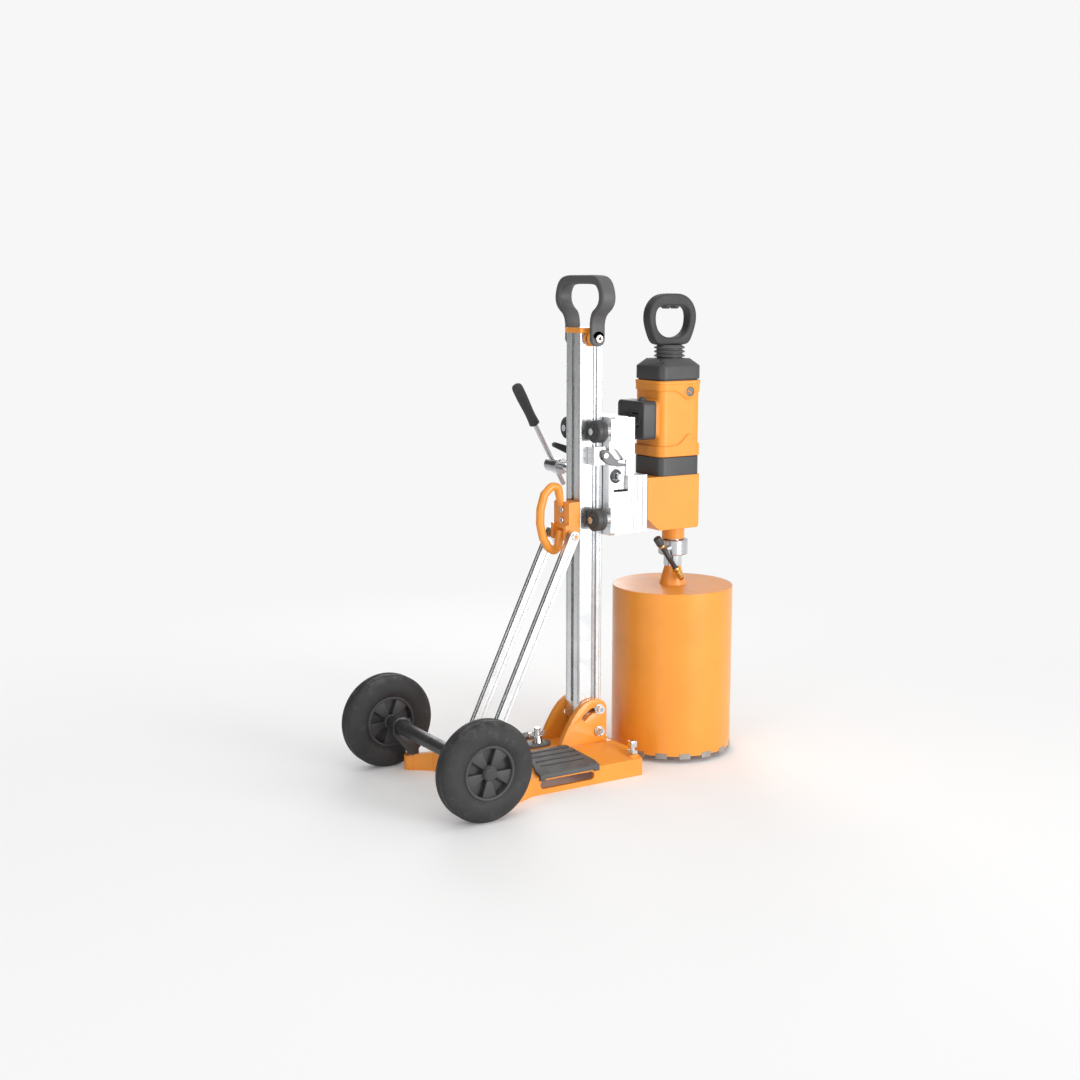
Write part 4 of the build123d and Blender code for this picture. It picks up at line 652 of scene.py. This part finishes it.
class RIG_OT_lugs(bpy.types.Operator):
    """Welded cheeks with their clamp slots, slotted brace lugs and dark axle brackets"""

    bl_idname = "rig.lugs"
    bl_label = "Cheeks and lugs"

    def execute(self, context):
        arc = [(-8, 171), (-26, 165), (-44, 152), (-60, 133), (-76, 108), (-92, 78)]
        side = [(37, 60), (37, 151), (31, 162), (18, 170), (6, 172)] + arc + [(-96, 66), (-96, 60)]
        cheek = prism([(x, -48.5, z) for x, z in side], (0, 16, 0))
        (pivot_x, pivot_z), reach, half = TILT_PIVOT, 55.0, 6.8
        turns = [radians(49 * k / 14) for k in range(15)]
        slot = [(pivot_x - (reach + half) * sin(a), pivot_z + (reach + half) * cos(a)) for a in turns]
        ends = [(pivot_x - reach * sin(turns[-1]) - half * sin(turns[-1] + k * pi / 6),
                 pivot_z + reach * cos(turns[-1]) + half * cos(turns[-1] + k * pi / 6)) for k in range(1,
                                                                                                       6)]
        slot += ends + [(pivot_x - (reach - half) * sin(a),
                         pivot_z + (reach - half) * cos(a)) for a in turns[::-1]]
        slot += [(pivot_x + half * sin(k * pi / 6),
                  pivot_z + reach - half * cos(k * pi / 6)) for k in range(1, 6)]
        cut(cheek, prism([(x, -52, z) for x, z in slot], (0, 24, 0)),
            lathe("Y", (pivot_x, -40, pivot_z), [(0, -12), (6.2, -12), (6.2, 12), (0, 12)], 32))
        round_edges(cheek, 1.0, 2, 40)
        foot_x, foot_z, run, play = -298.0, 84.0, 28.0, 8.8
        plate = [(foot_x - 20, 58), (foot_x - 20, foot_z), (foot_x - 10, foot_z + 16),
                 (foot_x + run + 12, foot_z + 16), (foot_x + run + 20, foot_z), (foot_x + run + 20, 58)]
        lug = prism([(x, -38, z) for x, z in plate], (0, 10, 0))
        hole = [(foot_x + (run if abs(k) < 7 else 0) + play * cos(k * pi / 12),
                 foot_z - 0.85 + play * sin(k * pi / 12)) for k in range(-11, 13) if k not in (6, -6)]
        cut(lug, prism([(x, -40, z) for x, z in hole], (0, 14, 0)))
        round_edges(lug, 1.0, 2, 40)
        axle_x, axle_z = AXLE
        rear = [(-394, 43), (-370, 43), (-374, 92), (-394, 131), (-408, 139), (-424, 139), (-438, 129),
                (-438, 99)]
        bracket = prism([(x, -169, z) for x, z in rear], (0, 10, 0))
        cut(bracket, lathe("Y", (axle_x, -164, axle_z), [(0, -9), (17.05, -9), (17.05, 9), (0, 9)], 48))
        round_edges(bracket, 1.0, 2, 40)
        for piece, finish in ((cheek, "orange_steel"), (lug, "orange_steel"), (bracket, "black_steel")):
            painted(piece, finish)
        welded = joined(cheek, lug)
        far = flipped_y(copy_of(welded))
        finish_piece(joined(welded, far), "cheeks_and_lugs", "base", ["base_lugs"])
        far = flipped_y(copy_of(bracket))
        finish_piece(joined(bracket, far), "axle_brackets", "base")
        return {"FINISHED"}


class RIG_OT_fixings(bpy.types.Operator):
    """Anchor rod with its dark plate, socket screw heads, and a dark ring that is painted shade round the
    feed shaft
    """

    bl_idname = "rig.fixings"
    bl_label = "Fixings"

    def execute(self, context):
        low, high = box_mm("anchor_rod")
        x, deck = -132.0, DECK_TOP
        rod = [(0, low.z), (6.8, low.z), (8, low.z + 1.2)]
        thread = []
        z = low.z + 2
        while z < high.z - 3:
            thread += [(8, z), (7.2, z + 1.0)]
            z += 2.0
        stud = painted(lathe("Z", (x, 0, 0), rod + thread + [(8, high.z - 1.6), (6.6, high.z),
                                                             (0, high.z)], 24),
                       "chrome")
        outline = [(x - 20 - 22 * sin(k * pi / 12), 22 * cos(k * pi / 12), deck) for k in range(13)]
        outline += [(x + 12 + 22 * sin(k * pi / 12), -22 * cos(k * pi / 12), deck) for k in range(13)]
        plate = prism(outline, (0, 0, 8))
        cut(plate, lathe("Z", (x, 0, deck), [(0, -3), (8.3, -3), (8.3, 12), (0, 12)], 32))
        painted(round_edges(plate, 1.4, 3, 40), "grey_plastic")
        finish_piece(joined(stud, plate), "anchor_stud", "base", ["anchor_rod"])

        cap = box_mm("mast_cap")[1].y
        pin = box_mm("brace_clamp")[1].y
        for name, body, centre, radius in (("pivot_screws", "column", (0, cap, HANDLE_PIVOT_Z), 9.4),
                                           ("brace_screws", "clamp", (BRACE_PIN[0], pin, BRACE_PIN[1]),
                                            9.4)):
            heads = []
            for side in (-1, 1):
                heads += socket_head("Y", (centre[0], side * (centre[1] - 5.4), centre[2]), side, radius,
                                     5.8)
            finish_piece(joined(*heads), name, body)
        heads = []
        for z in CLAMP_SCREW_HEIGHTS:
            heads += socket_head("X", (-64, -8, z), -1, 6.9, 6.3)
        finish_piece(joined(*heads), "clamp_screws", "clamp")

        low, high = box_mm("carriage_blocks")
        # a thin dark ring on the gear block's near face: painted shade where the recess round the feed
        # shaft lies in shadow
        profile = [(10.2, 0.6), (10.2, -0.8), (14.5, -1.6), (16.5, -1.0), (17.4, 0.6)]
        ring = painted(lathe("Y", (FEED_AXIS[0], low.y, FEED_AXIS[1]), profile, 56), "black_steel")
        finish_piece(ring, "feed_shade_ring", "carriage")
        return {"FINISHED"}


class RIG_OT_levelling(bpy.types.Operator):
    """Four levelling screws with square heads, and their hexagon lock nuts"""

    bl_idname = "rig.levelling"
    bl_label = "Levelling screws"

    def execute(self, context):
        nuts = []
        thread, head_half, head_tall, pad_tall = 8, 8.5, 17, 4
        nut = [(8.3, 0), (8.3, 9), (12.2, 9), (13.8, 7.9), (13.8, 1), (12.6, 0)]
        for end, seat in (("front", FRONT_NUT_SEAT), ("rear", box_mm("jam_nuts")[0].z)):
            for side in ("right", "left"):
                node = f"level_screw_{end}_{side}"
                low, high = box_mm(node)
                x, y = (low.x + high.x) / 2, (low.y + high.y) / 2
                nuts.append(lathe("Z", (x, y, seat), nut, 6))
                pad, foot, neck = (high.x - low.x) / 2, low.z, high.z - head_tall
                shank = lathe("Z", (x, y, 0), [
                    (0, foot), (pad - 0.8, foot), (pad, foot + 0.8), (pad, foot + 3.2),
                    (pad - 0.8, foot + pad_tall), (thread, foot + pad_tall), (thread, neck - 5.5),
                    (6.6, neck - 4.6), (6.6, neck + 1), (0, neck + 1)], 32)
                head = cuboid((x - head_half, y - head_half, neck), (x + head_half, y + head_half, high.z))
                screw = assembled([shank, round_edges(head, 1.4, 2, 40)], "chrome")
                finish_piece(screw, f"levelling_{end}_{side}", f"level_{end}_{side}", [node])
        finish_piece(assembled(nuts, "chrome"), "lock_nuts", "base", ["jam_nuts"])
        return {"FINISHED"}


# ---------------------------------------------------------------- mast top
class RIG_OT_carry_handle(bpy.types.Operator):
    """Thick omega handle that straddles the mast"""

    bl_idname = "rig.carry_handle"
    bl_label = "Carry handle"

    def execute(self, context):
        low, high = box_mm("carry_handle")
        half = (high.x - low.x) / 2
        out, top = high.y, high.z
        pivot = HANDLE_PIVOT_Z
        leg_in, leg_out = 46.7, 58.7
        outer = [(leg_out, pivot), (leg_out, 1088), (out - 10, 1109), (out, 1128), (out - 3, 1152),
                 (out - 16, 1176), (out - 40, top), (0, top)]
        inner = [(leg_in, pivot), (leg_in, 1098), (out - 28, 1116), (out - 20, 1132), (out - 22, 1148),
                 (out - 32, 1161), (out - 48, top - 21), (0, top - 21)]
        rings = []
        for (a, b), (c, d) in zip(self.eased(outer), self.eased(inner)):
            rings.append(((a + c) / 2, (b + d) / 2, Vector((a - c, b - d)).length / 2, atan2(b - d, a - c)))
        loops = []
        for y, z, thick, lean in rings:
            loop = []
            for k in range(16):
                a = tau * k / 16 + tau / 32
                u = max(-1, min(1, 1.36 * cos(a))) * thick
                x = max(-1, min(1, 1.36 * sin(a))) * half
                loop.append((x, y + u * cos(lean), z + u * sin(lean)))
            loops.append(loop)
        body = round_edges(loft(loops), 2.0, 2, 40)
        pieces = [body]
        for side in (-1, 1):
            y = side * (leg_in + leg_out) / 2
            w = (leg_out - leg_in) / 2
            boss = [(6.4, -w), (6.4, w), (17, w), (18.4, w - 1.4), (18.4, -w + 1.4), (17, -w)]
            pieces.append(lathe("Y", (0, y, pivot), boss, 48))
        finish_piece(assembled(pieces, "grey_plastic"), "top_handle", "handle",
                     ["carry_handle"], 40)
        return {"FINISHED"}

    @staticmethod
    def eased(side):
        """The line from one leg to the other, rounded twice, both ends kept."""
        line = [Vector(p) for p in side] + [Vector((-y, z)) for y, z in reversed(side[:-1])]
        for _ in range(2):
            cornered = [line[0]]
            for here, after in zip(line, line[1:]):
                cornered += [here.lerp(after, 0.25), here.lerp(after, 0.75)]
            line = cornered + [line[-1]]
        return line


# ---------------------------------------------------------------- carriage
class RIG_OT_rollers(bpy.types.Operator):
    """Stepped rollers that run on the guide rods"""

    bl_idname = "rig.rollers"
    bl_label = "Rollers"

    def execute(self, context):
        for level in ("low", "high"):
            for side in ("right", "left"):
                node = f"roller_{level}_{side}"
                low, high = box_mm(node)
                centre = (low.x, (low.y + high.y) / 2, (low.z + high.z) / 2)
                wide = high.x - low.x
                r = (high.z - low.z) / 2
                profile = [(6.6, 0.4), (12.5, 0.2), (13.6, 1.2), (14.2, 2.8), (19, 3.0), (20, 2.2),
                           (20.6, 0.8), (r - 3, 0), (r - 1, 0.8), (r, 2.8), (r, wide * 0.42),
                           (r - 1.2, wide * 0.46), (r - 1.2, wide * 0.54), (r, wide * 0.58),
                           (r, wide - 2.8), (r - 2, wide), (6.6, wide)]
                body = painted(lathe("X", centre, profile, 64), "black_plastic")
                short = {"low": "l", "high": "h"}[level] + side[0]
                finish_piece(body, f"guide_{level}_{side}", f"roller_{short}", [node], 28)
        return {"FINISHED"}


class RIG_OT_crank_grip(bpy.types.Operator):
    """Tapered rubber grip on the feed crank"""

    bl_idname = "rig.crank_grip"
    bl_label = "Crank grip"

    def execute(self, context):
        low, high = box_mm("crank_grip")
        lean = radians(28.8)
        axis = Vector((-sin(lean), 0, cos(lean)))
        centre = (low + high) / 2
        length = (high.z - low.z - 28 * sin(lean)) / cos(lean)
        foot = centre - axis * length / 2
        end = length
        profile = [(4.8, 0), (10.8, 0), (12.6, 1.0), (13.4, 3), (12.8, 10), (12.2, 18), (11.8, 30),
                   (12.4, 48), (13.2, 64), (13.8, 78), (13.9, end * 0.78), (13.7, end - 12),
                   (12.6, end - 6), (10, end - 2), (6, end), (0, end), (0, end - 4), (4.8, end - 4)]
        body = painted(lathe("Z", (0, 0, 0), profile, 48), "grip_rubber")
        place = Matrix.Translation(foot * MM) @ axis.to_track_quat("Z", "Y").to_matrix().to_4x4()
        body.data.transform(place)
        finish_piece(body, "crank_handgrip", "grip", ["crank_grip"], 40)
        return {"FINISHED"}


# ---------------------------------------------------------------- motor
def hump(x, peak, width):
    return exp(-((x - peak) / width) ** 2)


class RIG_OT_motor_shell(bpy.types.Operator):
    """Orange motor shell with wavy seams, switch bracket and brush bosses, and the black belt under it"""

    bl_idname = "rig.motor_shell"
    bl_label = "Motor shell"

    def execute(self, context):
        step = context.scene.rig_sizes.seam / MM
        z0, z1 = box_mm("gear_band")[1].z, box_mm("motor_cap")[0].z
        x0, x1, hy = 183.0, 306.0, 57.0
        cx, hx = (x0 + x1) / 2, (x1 - x0) / 2

        def ring(grow, height):
            line = rounded(cx, 0, hx + grow, hy + grow, MOTOR_CORNER + grow, 0, 20, 8)
            return [(x, y, height(x)) for x, y, _ in line]

        def low_seam(x):
            return z0 + 27 + 27 * hump(x, 268, 22)

        def high_seam(x):
            return z1 - 24 - 24 * hump(x, 267, 25)

        shell = loft([
            ring(-6, lambda x: z0 + 0.4), ring(0.2, lambda x: z0 + 0.4), ring(step - 0.6, lambda x: z0 + 2),
            ring(step - 0.4, lambda x: low_seam(x) - 1.2), ring(step - 1.2, low_seam),
            ring(-0.6, lambda x: low_seam(x) + 0.5), ring(-0.6, lambda x: high_seam(x) - 0.5),
            ring(step - 1.6, high_seam), ring(step - 1.2, lambda x: high_seam(x) + 1.2),
            ring(step - 1.2, lambda x: z1 - 9), ring(step, lambda x: z1 - 7.5),
            ring(step, lambda x: z1 - 2), ring(step - 1, lambda x: z1 - 0.4), ring(-5, lambda x: z1 - 0.4)])
        pieces = [shell]
        mid_x, mid_z = 267.0, 908.0
        for side in (-1, 1):
            face = side * hy
            boss = [(12.1, -8), (12.1, step + 0.9), (14.4, step + 0.9), (16.4, step - 0.2),
                    (17.4, step - 1.6), (17.4, -8)]
            profile = [(r, side * h) for r, h in boss]
            pieces.append(lathe("Y", (mid_x, face, mid_z), profile, 48))
        switch_low, switch_high = box_mm("switch_box")
        back = switch_high.x
        middle = (switch_low.z + switch_high.z - 9) / 2 + 0.5

        def frame_ring(x, half_y, half_z, radius):
            line = rounded(0, middle, half_y, half_z, radius, x, 4)
            return [(x, y, z) for y, z, _ in line]

        bracket = loft([frame_ring(back, 40, 34, 8), frame_ring(back, 47, 41, 11),
                        frame_ring(back + 1.5, 48.4, 42.6, 12), frame_ring(x0 - 5, 48.8, 43.4, 12),
                        frame_ring(x0 - 2, 50, 45, 12), frame_ring(x0 + 2, 53, 49, 13)])
        pieces.append(bracket)
        finish_piece(assembled(pieces, "orange_shell"), "motor_shell", "carriage",
                     ["motor_housing"], 30)

        low, high = box_mm("gear_band")
        cx, hx, hy = (low.x + high.x) / 2, (high.x - low.x) / 2, high.y

        def band_ring(inset, z):
            return rounded(cx, 0, hx - inset, hy - inset, MOTOR_CORNER - inset, z, 0, 8)

        belt = loft([band_ring(8, low.z), band_ring(1.2, low.z), band_ring(0, low.z + 1.2),
                     band_ring(0, high.z - 1.6), band_ring(1.0, high.z - 0.6), band_ring(8, high.z - 0.2)])
        finish_piece(painted(belt, "black_plastic"), "gear_belt", "carriage",
                     ["gear_band"], 30)
        return {"FINISHED"}


class RIG_OT_motor_top(bpy.types.Operator):
    """Chamfered end cap, ringed neck and scalloped grip"""

    bl_idname = "rig.motor_top"
    bl_label = "Motor cap and grip"

    def execute(self, context):
        low, high = box_mm("motor_cap")
        cx, hx, hy = (low.x + high.x) / 2, (high.x - low.x) / 2, (high.y - low.y) / 2

        def ring(inset, z, radius):
            return rounded(cx, 0, hx - inset, hy - inset, radius, z, 0, 8)

        z0, z1 = low.z, high.z
        cap = loft([ring(8, z0, 12), ring(4.5, z0, MOTOR_CORNER - 4), ring(4.5, z0 + 3, MOTOR_CORNER - 4),
                    ring(0.8, z0 + 3.2, MOTOR_CORNER - 1), ring(0, z0 + 4.2, MOTOR_CORNER),
                    ring(0, z1 - 18, MOTOR_CORNER), ring(0.5, z1 - 16.8, MOTOR_CORNER - 0.5),
                    ring(18, z1 - 1.2, 12), ring(19.5, z1, 11), ring(30, z1, 8)])
        for x in (cx - 48, cx + 48):
            for y in (-44, 44):
                well = lathe("Z", (x, y, z1 - 40), [(0, 0), (3.4, 0), (3.4, 50), (0, 50)], 20)
                cut(cap, well)
        painted(cap, "black_plastic")
        finish_piece(cap, "end_cap", "carriage", ["motor_cap"], 26)

        low, high = box_mm("grip_neck")
        mid = (low.x + high.x) / 2
        z0, z1 = low.z, high.z
        r = (high.x - low.x) / 2
        profile = [(0, 0), (r - 7, 0), (r - 7, 2)]
        pitch = (z1 - z0 - 2) / 3
        for i in range(3):
            z = 2 + pitch * i
            profile += [(r - 6.5, z + 0.6), (r - 1.2, z + 2.0), (r, z + 3.2), (r, z + 4.6),
                        (r - 1.2, z + 5.8), (r - 6.5, z + pitch - 1.2)]
        profile += [(r - 7, z1 - z0), (0, z1 - z0)]
        neck = painted(lathe("Z", (mid, 0, z0), profile, 64), "grey_plastic")
        finish_piece(neck, "ringed_neck", "carriage", ["grip_neck"], 28)

        low, high = box_mm("motor_grip")
        self.grip(low, high)
        return {"FINISHED"}

    @staticmethod
    def grip(low, high):
        mid, half, thick = (low.x + high.x) / 2, (high.x - low.x) / 2, (high.y - low.y) / 2
        z0, z1 = low.z, high.z
        outer = [(0, z0 - 0.4), (-36, z0 - 0.6), (-50, z0 + 4), (-58, z0 + 18), (-66, z0 + 38),
                 (-half - 2, z0 + 62), (-half + 1, z0 + 88), (-54, z0 + 110), (-32, z1 - 1), (0, z1 + 0.6)]
        outer += [(-u, w) for u, w in reversed(outer[1:-1])]
        inner = [(0, z0 + 17), (-22, z0 + 19), (-41, z0 + 31), (-50, z0 + 50), (-51, z0 + 72),
                 (-46, z1 - 37), (-32, z1 - 29), (0, z1 - 29)]
        inner += [(-u, w) for u, w in reversed(inner[1:-1])]
        count = 72
        out_line = even_path([(mid + u, -thick, w) for u, w in outer], count)
        in_line = even_path([(mid + u, -thick, w) for u, w in inner], count)
        pieces = [round_edges(ring_prism(out_line, in_line, (0, 2 * thick, 0)), 6.0, 5, 50)]
        for u in (-13, 13):
            tooth = [(mid + u - 10, z1 - 27), (mid + u - 8.5, z1 - 30), (mid + u - 1.5, z1 - 36.5),
                     (mid + u + 1.5, z1 - 36.5), (mid + u + 8.5, z1 - 30), (mid + u + 10, z1 - 27)]
            wedge = prism([(x, 3 - thick, z) for x, z in tooth], (0, 2 * thick - 6, 0))
            pieces.append(round_edges(wedge, 1.6, 3, 25))
        finish_piece(assembled(pieces, "grip_rubber"), "lifting_grip", "carriage",
                     ["motor_grip"], 50)


class RIG_OT_switch_box(bpy.types.Operator):
    """Switch box with rounded corners, a rocker frame and an empty cable gland"""

    bl_idname = "rig.switch_box"
    bl_label = "Switch box"

    def execute(self, context):
        low, high = box_mm("switch_box")
        top = 888.0
        x0, x1, hy = low.x, high.x, high.y
        middle = (low.z + top) / 2

        def ring(x, inset, radius):
            line = rounded(0, middle, hy - inset, (top - low.z) / 2 - inset, radius, x, 0, 6)
            return [(x, y, z) for y, z, _ in line]

        body = loft([ring(x0, 14, 6), ring(x0, 4, 8), ring(x0 + 0.8, 1.6, 9.5), ring(x0 + 2.6, 0.2, 10.5),
                     ring(x0 + 4, 0, 11), ring(x1 - 6, 0, 11), ring(x1 - 5.4, 0.9, 10.4),
                     ring(x1 - 4.4, 0.9, 10.4), ring(x1 - 3.8, 0, 11), ring(x1 - 1, 0, 11),
                     ring(x1, 1, 10), ring(x1, 9, 7)])
        cut(body, cuboid((x0 - 2, -38, 826), (x0 + 10, -10, 860)))
        cut(body, lathe("X", (x0 - 2, 22, 843), [(0, 0), (9.3, 0), (9.3, 12), (0, 12)], 40))
        bezel = ring_prism([(x0 + 0.3, -41, 823), (x0 + 0.3, -7, 823), (x0 + 0.3, -7, 863),
                            (x0 + 0.3, -41, 863)],
                           [(x0 + 0.3, -37.6, 826.4), (x0 + 0.3, -10.4, 826.4), (x0 + 0.3, -10.4, 859.6),
                            (x0 + 0.3, -37.6, 859.6)], (-1.8, 0, 0))
        round_edges(bezel, 0.6, 2)
        gland_z = top - 1
        gland = lathe("Z", (152, -22, gland_z),
                      [(4.6, 0), (4.6, 10), (6, 10), (7.6, 8.6), (8.4, 5.8), (8.4, 5.2),
                                                 (10, 5.0), (10.8, 4.2), (10.8, 0)], 6 * 5)
        finish_piece(assembled([body, bezel, gland], "black_plastic"), "switch_housing", "carriage",
                     ["switch_box"], 28)
        return {"FINISHED"}


class RIG_OT_water_lance(bpy.types.Operator):
    """Water valve: dark sleeve and pipe with a brass ring and a brass hose tail"""

    bl_idname = "rig.water_lance"
    bl_label = "Water valve"

    def execute(self, context):
        start = Vector((184, -45, 552))
        axis = Vector((72, 0, -99)).normalized()
        parts = (
            ("black_plastic", [(0, -1), (7, -1), (9.4, 0.4), (10, 3), (10, 20), (8.8, 23.4), (6, 24),
                               (0, 24)]),
            ("brass", [(0, 23.5), (8, 23.5), (8.4, 24.4), (8.4, 28.4), (8, 29.4), (0, 29.4)]),
            ("black_steel", [(0, 29), (6.4, 29), (6.4, 60), (6.9, 61), (6.9, 66), (6.4, 67), (6.4, 98),
                             (0, 98)]),
            ("brass", [(0, 97.5), (8.2, 97.5), (8.8, 99), (8.8, 106), (7.2, 107.2), (7.2, 110), (8, 111),
                       (7, 115), (8, 116), (7, 120), (8, 121), (7, 125), (8, 126), (7.4, 132), (6.8, 134),
                       (4, 134), (4, 128), (0, 128)]),
        )
        place = Matrix.Translation(start * MM) @ axis.to_track_quat("Z", "Y").to_matrix().to_4x4()
        pieces = [painted(lathe("Z", (0, 0, 0), profile, 40), finish) for finish, profile in parts]
        body = joined(*pieces)
        body.data.transform(place)
        finish_piece(body, "water_valve", "carriage", ["water_lance"], 30)
        return {"FINISHED"}


# ---------------------------------------------------------------- studio
def add_light(name, place, target, size, power, colour=(1, 1, 1)):
    light = bpy.data.lights.new(name, "AREA")
    light.shape = "RECTANGLE"
    light.size, light.size_y = size
    light.energy = power
    light.color = colour
    obj = bpy.data.objects.new(name, light)
    bpy.context.scene.collection.objects.link(obj)
    obj.location = place
    obj.rotation_euler = (Vector(target) - Vector(place)).to_track_quat("-Z", "Y").to_euler()


class RIG_OT_stage(bpy.types.Operator):
    """Pale floor, soft lights and the camera"""

    bl_idname = "rig.stage"
    bl_label = "Stage"

    def execute(self, context):
        scene = context.scene
        clear_selection()
        bpy.ops.mesh.primitive_plane_add(size=60, location=(0, 0, 0))
        floor = context.object
        floor.name = "floor"
        ground = Recipe("pale_floor")
        for key, value in (("Base Color", (0.9, 0.9, 0.9, 1)), ("Roughness", 0.85),
                           ("Emission Color", (1, 1, 1, 1)), ("Emission Strength", 0.05)):
            ground.feed(value, ground.shader.inputs[key])
        reach = ground.add("ShaderNodeVectorMath", {0: ground.place}, operation="LENGTH").outputs["Value"]
        behind = ground.along(ground.place, BEHIND)
        fade = ground.band(reach, 0.8, 2.4, interpolation_type="SMOOTHSTEP")
        dim = ground.band(behind, 0.6, 2.2, 0.92, 0.58, interpolation_type="SMOOTHSTEP")
        seen = ground.add("ShaderNodeLightPath").outputs["Is Camera Ray"]
        level = ground.add("ShaderNodeMix", {"Factor": seen, "A": dim, "B": BACKDROP}).outputs["Result"]
        glow = ground.add("ShaderNodeEmission", {"Strength": level}).outputs["Emission"]
        blend = ground.add("ShaderNodeMixShader", {0: fade, 1: ground.shader.outputs["BSDF"], 2: glow})
        ground.feed(blend.outputs[0], ground.tree.nodes["Material Output"].inputs["Surface"])
        floor.data.materials.append(ground.material)

        world = bpy.data.worlds.new("studio")
        scene.world = world
        world.use_nodes = True
        sky = Wiring(world.node_tree)
        facing = sky.along(sky.add("ShaderNodeTexCoord").outputs["Generated"], BEHIND)
        ramp = sky.add("ShaderNodeValToRGB", {0: sky.band(facing, -1.0, 1.0)})
        stops = ((0.0, 1.0), (0.35, 0.9), (0.65, 0.74), (0.78, 0.45), (0.9, 0.12), (1.0, 0.06))
        for element, (spot, grey) in zip(ramp.color_ramp.elements, (stops[0], stops[-1])):
            element.position = spot
            element.color = (grey, grey, grey, 1)
        for spot, grey in stops[1:-1]:
            ramp.color_ramp.elements.new(spot).color = (grey, grey, grey, 1)
        seen = sky.add("ShaderNodeLightPath").outputs["Is Camera Ray"]
        shade = sky.add("ShaderNodeMix", {0: seen, 6: ramp.outputs["Color"], 7: (1.0, 1.0, 1.0, 1)},
                        data_type="RGBA").outputs[2]
        back = sky.tree.nodes["Background"]
        sky.feed(shade, back.inputs["Color"])
        sky.feed(BACKDROP, back.inputs["Strength"])

        add_light("key", (1.5, -4.6, 1.1), (0, 0, 0.6), (2.4, 2.0), 128)
        add_light("top", (-0.4, -0.2, 3.6), (0, 0, 0.4), (2.4, 2.4), 12)
        add_light("rear", (1.4, 3.6, 1.9), (0, 0, 0.55), (2.2, 2.2), 46)
        add_light("left strip", (-3.4, -2.1, 1.1), (0, 0, 0.6), (0.5, 2.4), 20)
        scene.view_settings.view_transform = "Standard"

        lens = bpy.data.cameras.new("camera")
        lens.lens = CAMERA_LENS
        lens.sensor_width = CAMERA_SENSOR
        camera = bpy.data.objects.new("camera", lens)
        scene.collection.objects.link(camera)
        camera.location = CAMERA_PLACE
        camera.rotation_euler = (radians(90 - CAMERA_DOWN), 0, -radians(CAMERA_TURN))
        scene.camera = camera
        return {"FINISHED"}


# ---------------------------------------------------------------- panel and run
STEPS = (RIG_OT_stage, RIG_OT_finishes, RIG_OT_wheels, RIG_OT_treads, RIG_OT_lugs, RIG_OT_fixings,
         RIG_OT_levelling, RIG_OT_carry_handle, RIG_OT_rollers,
         RIG_OT_crank_grip, RIG_OT_motor_shell, RIG_OT_motor_top, RIG_OT_switch_box, RIG_OT_water_lance)


class RIG_PT_panel(bpy.types.Panel):
    """Lists the rig's settings and build steps"""

    bl_idname = "RIG_PT_panel"
    bl_label = "Drill Rig"
    bl_space_type = "VIEW_3D"
    bl_region_type = "UI"
    bl_category = "Drill Rig"

    def draw(self, context):
        for group in (context.scene.rig_colours, context.scene.rig_sizes):
            for key in group.__annotations__:
                self.layout.prop(group, key)
        for step in STEPS:
            self.layout.operator(step.bl_idname)


CLASSES = (RigColours, RigSizes, *STEPS, RIG_PT_panel)


def register():
    for cls in CLASSES:
        bpy.utils.register_class(cls)
    bpy.types.Scene.rig_colours = bpy.props.PointerProperty(type=RigColours)
    bpy.types.Scene.rig_sizes = bpy.props.PointerProperty(type=RigSizes)


def unregister():
    del bpy.types.Scene.rig_sizes
    del bpy.types.Scene.rig_colours
    for cls in reversed(CLASSES):
        bpy.utils.unregister_class(cls)


def main():
    register()
    for step in STEPS:
        group, name = step.bl_idname.split(".")
        getattr(getattr(bpy.ops, group), name)()
    clear_selection()


if __name__ == "__main__":
    main()
